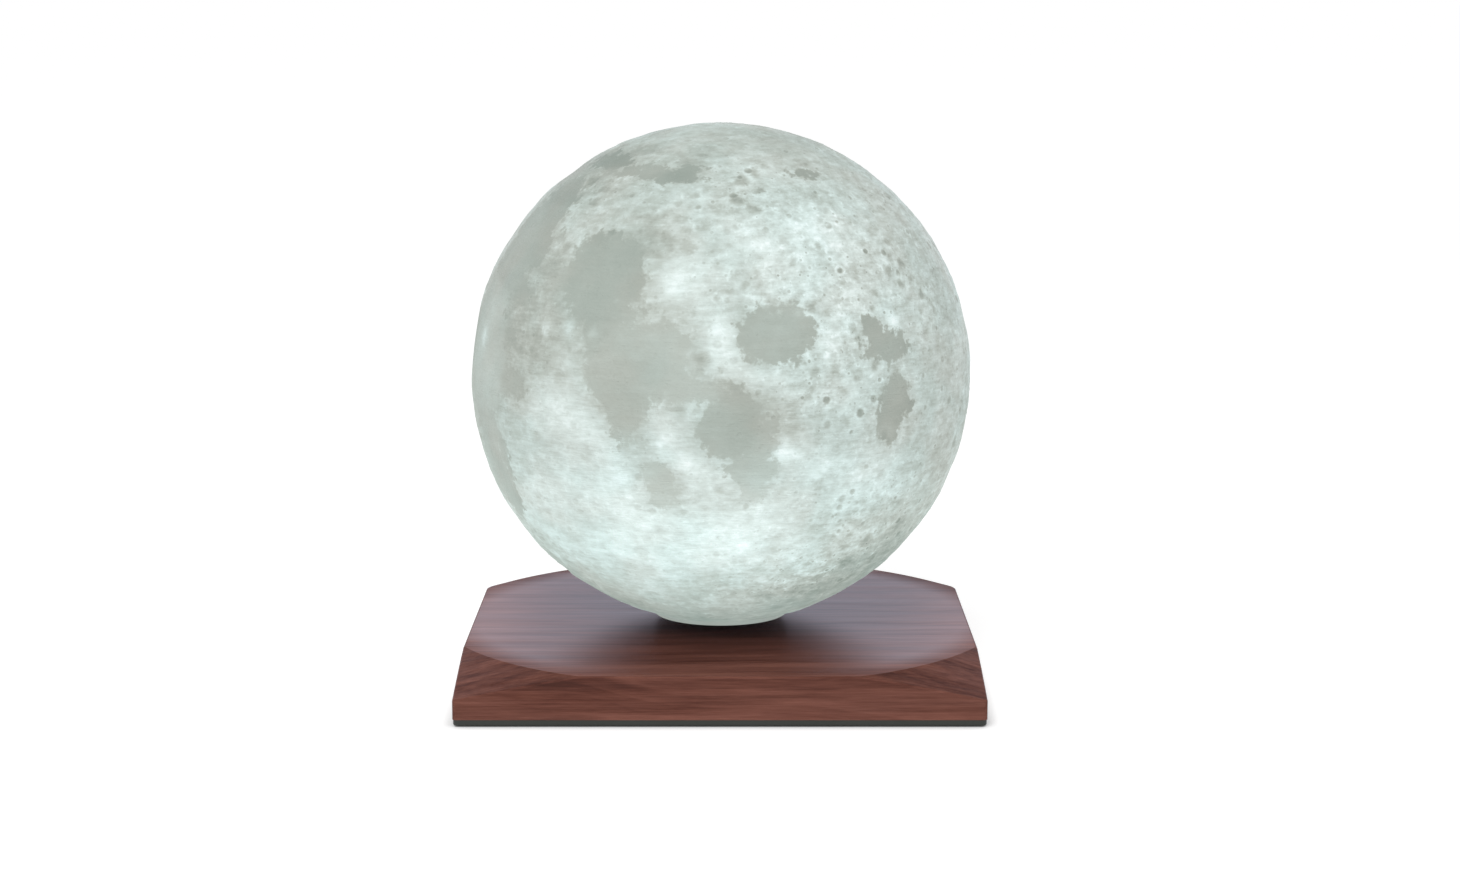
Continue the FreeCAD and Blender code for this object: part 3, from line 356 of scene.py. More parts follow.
# %% [markdown]
# ## The ball of the moon
#
# A sphere made of rings crowds its points at the poles. We want the same fine spacing everywhere,
# because craters are everywhere. So we start from a cube whose sides are divided into squares, and
# push every point out to the sphere. Taking the tangent of each coordinate first keeps the squares
# nearly equal, where a plain push would bunch them at the cube's corners.

# %% Geometry Nodes: a cube blown up into a ball
MOON_R = 0.090
MOON_CENTRE = 0.1076
BALL_DIVISIONS = 120

ball_tree, given, result = new_group("ball_from_cube", "GeometryNodeTree", {
    "Geometry": "NodeSocketGeometry", "Radius": 1.0, "Centre Height": 0.0, "Divisions": 16,
    "Material": "NodeSocketMaterial",
}, {"Geometry": "NodeSocketGeometry"})
tree = ball_tree
across = maths(tree, "ADD", given["Divisions"], 1.0)
cube = node(tree, "GeometryNodeMeshCube", Size=(2.0, 2.0, 2.0), Vertices_X=across, Vertices_Y=across,
            Vertices_Z=across)
cube_place = node(tree, "GeometryNodeInputPosition").outputs[0]
even = vectors(tree, "TANGENT", scaled(tree, cube_place, math.pi / 4))
round_place = scaled(tree, vectors(tree, "NORMALIZE", even), given["Radius"])
lift = node(tree, "ShaderNodeCombineXYZ", Z=given["Centre Height"])
round_place = vectors(tree, "ADD", round_place, lift.outputs[0])
ball = node(tree, "GeometryNodeSetPosition", Geometry=cube.outputs["Mesh"], Position=round_place)
end_tree(tree, ball.outputs[0], given["Material"], result["Geometry"])


def with_inputs(obj, tree, values):
    """Adds a Geometry Nodes modifier and sets its named inputs by their identifiers."""
    modifier = obj.modifiers.new(tree.name, "NODES")
    modifier.node_group = tree
    for item in tree.interface.items_tree:
        if item.in_out == "INPUT" and item.name in values:
            modifier[item.identifier] = values[item.name]


def give_mesh(obj, mesh):
    """Puts a mesh in the place of the object's own."""
    old, obj.data = obj.data, mesh
    bpy.data.meshes.remove(old)


def made_plain(obj):
    """Turns what the modifiers make into the object's own plain mesh, and removes them."""
    evaluated = obj.evaluated_get(bpy.context.evaluated_depsgraph_get())
    mesh = bpy.data.meshes.new_from_object(evaluated)
    obj.modifiers.clear()
    give_mesh(obj, mesh)
    return mesh


moon_finish, moon_nodes, moon_shader, moon_place = new_material("moon_print")
moon = added("moon", bpy.data.meshes.new("moon"))
with_inputs(moon, ball_tree, {"Radius": MOON_R, "Centre Height": MOON_CENTRE,
                              "Divisions": BALL_DIVISIONS, "Material": moon_finish})
ball_mesh = made_plain(moon)
print("ball:", len(ball_mesh.vertices), "points,", len(ball_mesh.polygons), "squares")

# %% [markdown]
# ## A map of the moon, as lists of ovals
#
# The dark seas, the lighter and darker country, and the spots that can be told apart are placed by
# latitude and longitude. An oval is its place, then half its width and half its height in degrees
# of the ball. A sea's next number is its tone, where 0 is dark and 1 is nearly white; country has
# an amount instead, which lightens or darkens what is there and fades out softly. Where there is
# one more number, the oval is tilted by it.

# %% Seas and country
SEAS = [
    # the round sea at the upper left, and its darker ends
    (27.4, 18, 10.2, 9.6, 0.17), (34, 15, 5, 3.6, 0.14), (36.4, 13.5, 2.2, 1.4, 0.08),
    (24.5, 11, 3.2, 3.6, 0.1), (20, 22, 8, 3.6, 0.22),
    # the wide sea in the middle, its bay and the neck below
    (9.5, 29, 13.8, 8.6, 0.31), (14, 21.5, 6.4, 4.6, 0.27), (3, 25.5, 7.6, 5, 0.3, -20),
    (3.6, 41, 5.4, 3.2, 0.34), (-1.5, 26.5, 3.8, 4, 0.3), (-6.5, 27.4, 2.6, 4, 0.38),
    (-16, 35.2, 4.1, 4.6, 0.38), (-20.4, 34.6, 2.2, 2.4, 0.46),
    # the sea to its right, with its tail
    (-4.8, 50.6, 8.6, 6.9, 0.24), (1.6, 51, 6.2, 3.4, 0.24, -20), (-7, 55.8, 4.6, 4.6, 0.28),
    (-12.4, 54.3, 5, 4.2, 0.33), (-17.5, 55.4, 2.6, 4.4, 0.38), (4, 45.6, 3.6, 2.2, 0.36),
    # the crisp oval sea
    (16.9, 58.2, 6.2, 5.7, 0.24), (16.3, 62.4, 5.8, 6, 0.23),
    # the long cold sea across the top
    (56.4, 15, 10.4, 2.5, 0.12), (56.4, 30, 5, 3.2, 0.05), (59.6, -13, 9.6, 3.4, -0.1),
    # the seas at the left edge
    (37.5, -19, 10, 11, 0.15), (27, -20, 9.5, 8, 0.19), (47, -19, 8.6, 6, 0.02), (32, -9, 4.6, 5, 0.16),
    (19, -24, 11, 7, 0.33), (5, -21, 12.5, 13, 0.33), (1.5, -6, 5.6, 3.4, 0.22),
    (11.5, -6.5, 3.6, 2.4, 0.12), (21.4, -9, 3.4, 2.4, 0.14), (-11, -19, 7, 7, 0.29),
    (-21, -19, 7.4, 10, 0.25), (-27, -17, 6, 4.6, 0.18), (-15, -11, 2.6, 3.6, 0.2),
    (26, 4.6, 2.6, 2.2, 0.26), (35.5, -1.5, 2.4, 2, 0.24),
    # small seas at the right edge
    (57.2, 79.6, 3, 1.6, -0.04), (13, 87.8, 6.4, 3.2, 0.08), (17, 83.2, 2.2, 2.4, 0.06),
    (1.6, 89.4, 4.6, 5.6, 0.08), (-4.4, 86.6, 3.4, 3.4, 0.14, 20),
    # the side that faces away
    (-24.4, -38.6, 6.4, 6, 0.2), (7.5, -38, 10, 8, 0.2), (20, -54, 14, 16, 0.2), (4, -46, 11, 11, 0.2),
    (40, -60, 9, 11, 0.2), (-5, -43, 8, 7, 0.2), (53, -40, 8, 4, 0.15, 10), (27.3, 147.9, 4.6, 4, 0.2),
    (-33.7, 163.5, 5.2, 4.2, 0.25, 20), (-19.4, -92.8, 4.6, 5.2, 0.25), (-20.4, 129.1, 2.6, 2.6, 0.15),
]
COUNTRY = [
    # the dull cap at the top, and the dark foot: partly the moon's own tone, partly painted shade where the
    # ball curves away at top and bottom
    (80, 60, 45, 16, -0.06), (63.5, 12, 16, 4.5, -0.16), (66, 108, 12, 14, -0.06), (60, 47, 5, 5, 0.12),
    (-78, 50, 60, 21, -0.55), (-42, 100, 15, 12, -0.42), (-52, 82, 10, 7, -0.25), (-30, 103, 8, 7, -0.08),
    (60, -24, 12, 9, -0.22),
    # upper left
    (49, 3, 9, 4, -0.14), (37.5, 29, 7.5, 4, -0.24), (44, 28, 5, 4, -0.08), (30, 1, 5, 6, -0.16),
    (17, 0, 10, 5, -0.2), (10, 1.5, 10, 5, -0.26), (24, -9, 13, 9, -0.14), (6, -6, 8, 9, -0.12),
    (38.5, 3, 4, 3, -0.08), (44, 12, 6, 3, 0.04),
    # round the crisp sea
    (15.5, 47.8, 3.4, 4.6, 0.36), (9.6, 51, 4.4, 2.8, 0.34, -20), (6.6, 58, 6, 2.4, 0.28),
    (12, 66.6, 1.4, 1.2, 0.3), (13.5, 72, 3.6, 4.4, 0.2), (27, 36.4, 4, 3.6, 0.34),
    (29.5, 44, 7, 4, 0.22), (22, 45, 4.6, 3, 0.12), (18, 36, 4, 2.2, -0.06), (26.4, 62, 9, 3.4, 0.2),
    (36.5, 56, 7, 5, 0.18), (38, 73, 15, 9, 0.26), (25, 79, 6.6, 5, 0.22), (18.4, 77, 3.6, 2.6, 0.12),
    (18, 90.4, 1.8, 1.8, 0.32), (15, 43, 3.4, 3.8, -0.12), (24, 46, 2.2, 2, -0.1), (27, 55, 3, 2, -0.08),
    (5.4, 69, 4.4, 1.6, -0.22), (0, 66.5, 2, 1.2, -0.16), (4, 78, 6, 7, 0.16),
    # the bright lower left
    (-3.5, 10, 9, 6, 0.28), (-6, 19, 6, 4.4, 0.14), (-30, 15, 30, 18, 0.22), (-16, 24.6, 3.6, 6.6, 0.24),
    (-26, 28, 5, 4, 0.06), (-30, 51, 14, 6.6, 0.24), (-36, 42, 10, 5, 0.08), (-8, 36.4, 4.4, 4.2, 0.3),
    (0.4, 33.6, 2.2, 1.8, 0.2), (-3, 36.6, 3.2, 2.6, 0.12), (-12, 42, 2.4, 2.2, 0.24),
    (-17.4, 42.6, 2, 1.6, 0.22), (-14.4, 47, 4.6, 2.6, 0.14), (-2, -2, 5, 4, -0.06),
    (-14, -5, 3, 8, -0.04),
    # lower right
    (-9, 62, 3, 2.2, 0.22), (-12, 69, 9, 5, 0.25), (-21.4, 58.6, 3, 1.8, 0.26), (-27, 60, 6, 4, 0.12),
    (-17, 86.4, 6.6, 3.8, 0.26), (-19, 79, 5, 4, 0.12), (-16.5, 66, 4, 2.6, -0.05),
    (0, 109, 10, 45, -0.06), (2, 80, 20, 48, 0.1), (2, 100, 3, 6, -0.06),
    # the side that faces away
    (10, 150, 30, 24, 0.16), (0, -150, 34, 28, 0.18), (-50, -170, 22, 16, -0.16),
    (-20, -112, 14, 20, 0.14), (55, 160, 20, 10, 0.08), (-10, -82, 8, 14, 0.12), (-50, -60, 20, 10, 0.1),
    (60, -110, 20, 8, 0.06),
]
ROUGH = [
    # where small craters show most
    (36, 82, 26, 26, 0.9), (50, 55, 14, 10, 0.6), (10, 76, 13, 24, 0.7), (-32, 88, 18, 18, 0.8),
    (-46, 74, 22, 11, 0.8), (25, 55, 14, 9, 0.5), (50, 4, 14, 11, 0.5), (6, 67, 7, 7, 0.6),
    (-18, 40, 9, 8, 0.25), (14, -2, 12, 12, 0.3), (0, 150, 60, 60, 0.6), (0, -130, 50, 50, 0.5),
]
print("seas", len(SEAS), "country", len(COUNTRY), "rough", len(ROUGH))

# %% [markdown]
# Spots come next: small bright ones, and craters with a dark floor and a light edge. A spot is its
# place, its radius in degrees and how strong it is. The main craters are those that the solid model
# has too, with their radius in millimetres, and they are hollows, not only colour.

# %% Spots and main craters
BRIGHT_SPOTS = [
    (-8.7, 61.6, 2.2, 0.34), (35.5, 7, 1.3, 0.26), (33.4, -1.6, 1.5, 0.24), (14.4, 4.6, 1.5, 0.34),
    (15.6, 11.6, 1.6, 0.36), (15, 18, 1.2, 0.24), (12.2, 15.4, 1, 0.22), (8.6, 12.8, 1.2, 0.2),
    (23.4, -1.4, 1.3, 0.22), (21, 0.6, 1.2, 0.22), (9.6, -23, 2.4, 0.4), (2.6, 17.6, 1, 0.18),
    (44.4, 28.6, 1.2, 0.2), (39.4, 34.6, 1.2, 0.2), (20.6, 65.4, 1, 0.22), (9.2, 66.4, 1.5, 0.22),
    (45.6, 13.5, 1.4, 0.12), (41.4, 6, 1.2, 0.12), (18.4, 90.2, 1.2, 0.26), (-32.4, 54.2, 1.6, 0.1),
    (16.2, 46.9, 1.5, 0.18), (54.6, 40, 1.3, 0.14), (60, 24, 0.9, 0.18), (51, 5.6, 1.3, 0.16),
    (25.4, 35.6, 1.6, 0.18), (22.4, 22.4, 0.6, 0.1), (18.6, 33.6, 0.8, 0.1), (25, 29.6, 1, 0.16),
    (28.4, 30.6, 1.1, 0.2), (23, 30.8, 1, 0.2), (12, 41, 0.9, 0.12), (0.6, 34.4, 1.1, 0.18),
    (-7.2, 35, 1.4, 0.16), (-11.4, 40.6, 1.6, 0.18), (-16.4, 27, 1.4, 0.12), (-19.6, 40, 1.2, 0.16),
    (-21.4, 57, 1.4, 0.12), (-24, 15, 1.5, 0.1), (-30.2, 36, 1.4, 0.08), (-26, 46.6, 1.4, 0.08),
    (35.9, 102.8, 1.6, 0.2), (-22.6, 86.4, 1.2, 0.12), (3.6, 62, 1.2, 0.12), (33, 60.4, 1.1, 0.12),
    (30.4, 70, 1.2, 0.12), (41.6, 60.6, 1.2, 0.12), (46, 72.6, 1.2, 0.1), (34, 48.4, 1.2, 0.12),
    (-43.3, -11.4, 2.4, 0.2), (8.1, -38, 2, 0.3), (23.7, -47.4, 2.2, 0.4), (5, -150, 1.6, 0.2),
    (-36, 150, 1.4, 0.2), (22, 170, 1.4, 0.2), (-20, -130, 1.4, 0.2),
]
DARK_SPOTS = [
    (54.6, 53.6, 1.8, 0.34), (59.4, 64.6, 1.2, 0.22), (48.6, 51.6, 1.5, 0.28), (45.6, 57.2, 1.5, 0.3),
    (44.4, 66, 1.4, 0.26), (41.6, 41.8, 1.7, 0.18), (36, 74, 1.1, 0.3), (32.2, 66, 1.3, 0.2),
    (27.2, 52.8, 1.1, 0.26), (30.6, 79.4, 1.1, 0.26), (57.4, 59, 1.2, 0.22), (51.2, 60.2, 1.1, 0.22),
    (33, 96, 1.6, 0.34), (30.8, 99.6, 1.3, 0.32), (29, 93.6, 1.4, 0.34), (26.8, 101.4, 1, 0.28),
    (26.2, 97, 1.1, 0.28), (23, 103.4, 1.1, 0.3), (24.4, 87.2, 1, 0.26), (20.2, 107, 1, 0.28),
    (16.4, 89.6, 1, 0.2), (51.8, -8.6, 2, 0.26), (8.2, 68.8, 1.4, 0.2), (8.2, 73.2, 1.5, 0.24),
    (3, 66.2, 1.2, 0.2), (3.8, 75, 1.5, 0.16), (-7.2, 86.2, 1.8, 0.16), (-30.4, 78.6, 1.1, 0.22),
    (-38.8, 74.4, 1.2, 0.24), (-30, 103, 2, 0.24), (-34, 91.4, 1.8, 0.3), (-39.6, 88.4, 2.2, 0.26),
    (-44.6, 80.6, 1.6, 0.26), (-48.4, 75.6, 1.8, 0.24), (-52, 68, 1.6, 0.2), (-54.6, 78, 1.8, 0.2),
    (-16.8, 71.4, 1.5, 0.16), (37.4, 33, 2, 0.1), (43.2, 29.4, 1.6, 0.14), (10.6, 44, 2, 0.18),
    (15.4, 75.6, 1.2, 0.24), (17.2, 78.4, 1.1, 0.24), (14.2, 79.6, 1.2, 0.24), (9, 83.6, 1.4, 0.22),
    (-0.6, 69.4, 1.4, 0.16), (38.2, 82.4, 1.4, 0.14), (22, 68.6, 1.4, 0.28), (25.4, 66, 1.1, 0.18),
    (-9.2, 3.4, 1.8, 0.14), (-24, 6.2, 1.8, 0.12), (38.6, 16, 1, 0.16), (45.6, 3.2, 1.4, 0.16),
    (33.6, 3, 1.4, 0.16), (24.4, 57.4, 0.9, 0.2), (20, 43.8, 1, 0.14), (-5.2, -68.6, 2.6, 0.3),
    (-20.4, 129.1, 2.2, 0.3), (33, 130, 1.6, 0.2), (-12, 118, 1.6, 0.2), (48, 120, 1.6, 0.2),
]
MAIN_CRATERS = [
    (-9, 61, 3.4), (-25, 60, 4.6), (-36, 61, 3.5), (-16.5, 62, 3.6), (-11.5, 26.5, 2.6), (-18, 23.5, 2.8),
    (-23, 33, 3), (-30, 32, 2.5), (-41, 14, 3), (-45, 40, 5.2), (-24, 16.5, 2.8), (38.5, 33, 2.6),
    (47, 44.5, 2.4), (47, 39, 2), (53.5, 56.5, 3.2), (30, 54, 3.2), (39, 60.5, 3.2), (35.5, 79, 4.6),
    (31, 72, 2.4), (8, 77, 3), (-7, 77, 2.8), (-13, 80, 2.6), (-27, 81, 5.4), (-20, 74, 3.4),
    (50, 17.5, 2.4), (44, 13, 2), (52, -8, 2.8), (-9, -2, 4.2), (-14.5, -3, 2.8), (-12, 5, 3.5),
    (-5, 6, 3.6), (-28, 0, 3.1), (-35, 1, 3.4), (-41.5, 6, 3.4), (-59, -14, 5.8), (-43.5, -11.5, 2.4),
    (-50, -4, 4.8), (-49.5, -22, 4), (9.5, -20, 2.4), (-44.5, -54.5, 5.3), (-5, -69, 4.4), (-3, -76, 3.4),
    (62, -42, 4.2), (65, 4.5, 4), (73.5, 19, 3.3), (66, 55, 3), (-57, 24, 3.2), (-58, 54, 3.4),
    (-52, 66, 3), (-20.5, 129, 4.8), (-20, 149, 6.6), (-36, 146, 3.7), (-12, 104.5, 5.8), (43, 101, 4.7),
    (27, 95, 3.6), (15, 109.5, 2.8), (5.5, 141, 6.8), (45.5, 151.5, 5.6), (-31.5, 112, 6.4),
    (63, 124, 4.4), (27, 122, 3.4), (-50, 124, 4.4), (1.5, -129, 7), (-4, -157.5, 7), (59, -146, 6.8),
    (-36, -152, 7.4), (-57, 163.5, 6.5), (-14, -150, 4.4), (18.5, -149.5, 4.7), (41.5, -118, 5.4),
    (32.5, -95, 6.5), (-35, -166.5, 4.6), (-10.5, 167, 4.2), (18, 174, 4), (-46, -120, 4.6),
    (68, -100, 4.2),
]
print("spots", len(BRIGHT_SPOTS) + len(DARK_SPOTS), "main craters", len(MAIN_CRATERS))

# %% [markdown]
# For every point of the ball we now work out how far inside the nearest sea it lies, that sea's
# tone, how light the country is and what the spots add. These numbers are stored on the ball, and
# the finish reads them. Noise will roughen the edges later, so a handful of ovals is enough for a
# ragged coast. The seas and main craters are pressed in as well, by less than half a millimetre,
# and each main crater gets a raised edge.

# %% Measure the map at every point
FACING = 47.8  # the longitude that looks to the front
LEAN = math.radians(1.3)  # to the right
LAND_TONE = 0.52  # of plain country
PLAIN_ROUGH = 0.25  # how much grit plain country has
SEA_MELT = 0.7  # degrees over which the ovals of a sea run into each other
SPOT_RAGGED, SPOT_WAVES = 0.006, (140, 90)  # how far spots are pushed out of round, and how often
SEA_DEPTH = 0.00035
SEA_SLOPE = 5.0  # degrees from the coast to where a sea is that deep
CRATER_DEPTH = 0.00045
CRATER_RIM = 0.00028  # how far a main crater's edge stands up


def on_moon(latitude, longitude):
    """The direction from the moon's middle to a place on it, in the lamp's frame."""
    lat, lon = math.radians(latitude), math.radians(longitude - FACING)
    x, y, z = math.cos(lat) * math.sin(lon), -math.cos(lat) * math.cos(lon), math.sin(lat)
    return np.array((x * math.cos(LEAN) + z * math.sin(LEAN), y, z * math.cos(LEAN) - x * math.sin(LEAN)))


def reach(directions, latitude, longitude, wide, high, tilt=0.0):
    """How far each direction is from an oval's middle: 0 there, 1 on its edge."""
    middle, east = on_moon(latitude, longitude), on_moon(0.0, longitude + 90.0)
    away = np.degrees(np.arccos(np.clip(directions @ middle, -1, 1)))
    across, up = directions @ east, directions @ np.cross(middle, east)
    scale = away / np.maximum(np.hypot(across, up), 1e-9)
    across, up = across * scale, up * scale
    cosine, sine = math.cos(math.radians(tilt)), math.sin(math.radians(tilt))
    return np.hypot((across * cosine + up * sine) / wide, (up * cosine - across * sine) / high)


def points_of(mesh):
    """The mesh's points, one row of x, y and z for each."""
    numbers = np.empty(len(mesh.vertices) * 3)
    mesh.vertices.foreach_get("co", numbers)
    return numbers.reshape(-1, 3)


directions = points_of(ball_mesh) - (0, 0, MOON_CENTRE)
directions /= np.linalg.norm(directions, axis=1)[:, None]


def laid_down(ovals):
    """The amounts of soft ovals, added up in every direction."""
    return sum(amount * np.exp(-reach(directions, lat, lon, wide, high, *tilt) ** 2)
               for lat, lon, wide, high, amount, *tilt in ovals)


depths = [np.clip((1 - reach(directions, lat, lon, wide, high, *tilt)) * min(wide, high), -25, 25)
          for lat, lon, wide, high, _, *tilt in SEAS]
weights = [np.exp(depth / SEA_MELT) for depth in depths]
sea = SEA_MELT * np.log(sum(weights))
sea_tone = sum(weight * row[4] for weight, row in zip(weights, SEAS)) / sum(weights)
land = LAND_TONE + laid_down(COUNTRY)
rough = PLAIN_ROUGH + laid_down(ROUGH)
waves = directions[:, [1, 2, 0]] * SPOT_WAVES[0] + directions[:, [2, 0, 1]] * SPOT_WAVES[1]
ragged = directions + SPOT_RAGGED * np.sin(waves)
ragged /= np.linalg.norm(ragged, axis=1)[:, None]
spot = sum(a * np.exp(-1.4 * reach(ragged, lat, lon, r, r) ** 2) for lat, lon, r, a in BRIGHT_SPOTS)
for lat, lon, r, a in DARK_SPOTS:  # a light edge at 1.4 radii, round a dark floor
    away = reach(ragged, lat, lon, r, r)
    spot += a * (0.4 * np.exp(-((away - 1.4) / 0.35) ** 2) - 1.1 / (1 + (away / 0.8) ** 5))
pressed = -SEA_DEPTH * np.clip(sea / SEA_SLOPE, 0, 1) ** 0.7
for lat, lon, r in MAIN_CRATERS:
    degrees = math.degrees(r / 1000 / MOON_R)
    away = reach(directions, lat, lon, degrees, degrees)
    bowl = -CRATER_DEPTH * np.clip(1 - away**2, 0, 1) ** 0.8
    pressed = np.minimum(pressed, bowl) + CRATER_RIM * np.exp(-((away - 1.12) / 0.2) ** 2)
points = directions * (MOON_R + pressed)[:, None] + (0, 0, MOON_CENTRE)
ball_mesh.vertices.foreach_set("co", points.ravel())
fields = {"sea": sea, "sea_tone": sea_tone, "land": land, "spot": spot, "rough": rough,
          "crater": np.zeros(len(sea))}
for name, values in fields.items():
    ball_mesh.attributes.new(name, "FLOAT", "POINT").data.foreach_set("value", np.clip(values, -20, 20))
print("map:", {name: (round(float(v.min()), 2), round(float(v.max()), 2)) for name, v in fields.items()})

# %% [markdown]
# ## Craters
#
# The printed moon is covered with round craters: a few large, many small. The small ones repeat, so
# Geometry Nodes make them. One tree scatters points over the ball, gives each its own size, and
# asks every part of the ball how far the nearest point is. A curve, drawn once, is the section
# through a crater: a flat floor, a steep wall, and a raised rim that fades away outside. We run the
# same tree twice with other sizes. The seas get few, because the lava that filled them is young.

# %% Geometry Nodes: one tree for every size of crater
CRATER_SECTION = [  # (distance from the middle, height)
    (0.0, 0.10), (0.25, 0.13), (0.45, 0.42), (0.56, 0.92), (0.63, 1.0), (0.74, 0.74), (1.0, 0.60),
]
SECTION_REACH = 1.6  # the curve ends this many crater radii from the middle
LEVEL_GROUND = 0.60
SEA_SHARE = 0.06  # how many craters a sea has, against the land
CRATER_INPUTS = ("Spacing", "Density", "Smallest", "Largest", "Depth Share", "Seed")
CRATER_SIZES = [(0.0110, 8000.0, 0.0024, 0.0042, 0.11, 8), (0.0048, 40000.0, 0.0013, 0.0020, 0.14, 5)]

crater_tree, given, result = new_group("craters", "GeometryNodeTree", {
    "Geometry": "NodeSocketGeometry", **dict(zip(CRATER_INPUTS, CRATER_SIZES[0])),
    "Material": "NodeSocketMaterial",
}, {"Geometry": "NodeSocketGeometry"})
tree = crater_tree


def stored(name):
    """Reads a number that is stored on every point."""
    return node(tree, "GeometryNodeInputNamedAttribute", Name=name).outputs[0]


on_land = step(tree, stored("sea"), -3.0, 0.0, 1.0, SEA_SHARE)
scatter = node(tree, "GeometryNodeDistributePointsOnFaces", {"distribute_method": "POISSON"},
               Mesh=given["Geometry"], Seed=given["Seed"], Density_Factor=on_land,
               Distance_Min=given["Spacing"], Density_Max=given["Density"])
size = node(tree, "FunctionNodeRandomValue", Seed=given["Seed"])
in_order(tree, (size.inputs[2], size.inputs[3]), (given["Smallest"], given["Largest"]))
sized = node(tree, "GeometryNodeStoreNamedAttribute", Geometry=scatter.outputs["Points"], Name="crater_r",
             Value=size.outputs[1])
nearest = node(tree, "GeometryNodeSampleNearest", Geometry=sized.outputs[0])
here = node(tree, "GeometryNodeInputPosition").outputs[0]


def at_nearest(kind, value):
    """What the nearest crater's point holds."""
    return node(tree, "GeometryNodeSampleIndex", {"data_type": kind}, Geometry=sized.outputs[0],
                Index=nearest.outputs[0], Value=value).outputs[0]


crater_r = at_nearest("FLOAT", stored("crater_r"))
from_crater = vectors(tree, "DISTANCE", here, at_nearest("FLOAT_VECTOR", here))
away = maths(tree, "DIVIDE", from_crater, crater_r)
section = node(tree, "ShaderNodeFloatCurve", Value=maths(tree, "DIVIDE", away, SECTION_REACH))
curve = section.mapping.curves[0]
for x, y in CRATER_SECTION[1:-1]:
    curve.points.new(x, y)
curve.points[0].location, curve.points[-1].location = CRATER_SECTION[0], CRATER_SECTION[-1]
section.mapping.update()
rise = maths(tree, "SUBTRACT", section.outputs[0], LEVEL_GROUND)
height = times(tree, rise, crater_r, given["Depth Share"])
outward = scaled(tree, node(tree, "GeometryNodeInputNormal").outputs[0], height)
toned = node(tree, "GeometryNodeStoreNamedAttribute", Geometry=given["Geometry"], Name="crater",
             Value=maths(tree, "ADD", stored("crater"), rise))
dented = node(tree, "GeometryNodeSetPosition", Geometry=toned.outputs[0], Offset=outward)
end_tree(tree, dented.outputs[0], given["Material"], result["Geometry"])

for sizes in CRATER_SIZES:
    with_inputs(moon, crater_tree, {**dict(zip(CRATER_INPUTS, sizes)), "Material": moon_finish})
relief_mesh = made_plain(moon)
radii = np.linalg.norm(points_of(relief_mesh) - (0, 0, MOON_CENTRE), axis=1)
lowest, highest = (round(float(r - MOON_R) * 1000, 2) for r in (radii.min(), radii.max()))
print("relief in mm:", lowest, "to", highest)

# %% [markdown]
# ## Closing the moon
#
# The printed moon is a shell. Its bottom is cut flat, with a round opening that its cap closes. We
# cut the ball with a plane, then turn the inner outline, opening, seat and inside wall, round the
# upright axis, and fill the flat between the two. The result is one closed skin, so it can be
# printed or weighed.

# %% Cut the flat, add the inside wall
CUT_HEIGHT = 0.0210
OPENING_R = 0.0205
SEAT_R = 0.0270
SEAT_TOP = 0.0260
WALL = 0.0016
INSIDE_STEPS = 96
INSIDE_ROWS = 40

skin = bmesh.new()
skin.from_mesh(relief_mesh)
bmesh.ops.bisect_plane(skin, geom=skin.verts[:] + skin.edges[:] + skin.faces[:], dist=1e-6,
                       plane_co=(0, 0, CUT_HEIGHT), plane_no=(0, 0, 1), clear_inner=True)
outer_loop = [e for e in skin.edges if e.is_boundary]

inner_r = MOON_R - WALL
arc_span = math.pi - math.asin(SEAT_R / inner_r)
arc = [arc_span * (1 - k / INSIDE_ROWS) for k in range(INSIDE_ROWS)]
outline = [(OPENING_R, CUT_HEIGHT), (OPENING_R, SEAT_TOP), (SEAT_R, SEAT_TOP)]
outline += [(inner_r * math.sin(a), MOON_CENTRE + inner_r * math.cos(a)) for a in arc]
turn = [2 * math.pi * k / INSIDE_STEPS for k in range(INSIDE_STEPS)]
rows = [[skin.verts.new((r * math.cos(a), r * math.sin(a), z)) for a in turn] for r, z in outline]
top = skin.verts.new((0, 0, MOON_CENTRE + inner_r))
for k in range(INSIDE_STEPS):
    n = (k + 1) % INSIDE_STEPS
    for low, high in zip(rows, rows[1:]):
        skin.faces.new((low[k], high[k], high[n], low[n]))
    skin.faces.new((rows[-1][k], top, rows[-1][n]))
opening_loop = [skin.edges.get((rows[0][k], rows[0][(k + 1) % INSIDE_STEPS])) for k in range(INSIDE_STEPS)]
bmesh.ops.triangle_fill(skin, edges=outer_loop + opening_loop, use_beauty=True, normal=(0, 0, -1))
bmesh.ops.recalc_face_normals(skin, faces=skin.faces[:])
open_edges = sum(not e.is_manifold for e in skin.edges)
for face in skin.faces:
    face.smooth = all(v.co.z > CUT_HEIGHT + 1e-5 for v in face.verts)
moon_mesh = bpy.data.meshes.new("moon")
skin.to_mesh(moon_mesh)
volume = skin.calc_volume(signed=True)
skin.free()
moon_mesh.materials.append(moon_finish)
give_mesh(moon, moon_mesh)
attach(moon, "moon")
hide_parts("moon_shell")
moon_mesh.calc_loop_triangles()
print("moon:", len(moon_mesh.loop_triangles), "triangles, open edges", open_edges,
      "volume cm3", round(volume * 1e6, 2))

# %% [markdown]
# ## Rings for the smallest craters
#
# Below a millimetre or two, craters are too small for the ball's points, so the finish draws them.
# A cell pattern gives each crater a middle and a random size. Inside it is darker, and its edge is a
# little lighter. The group is used at several scales.

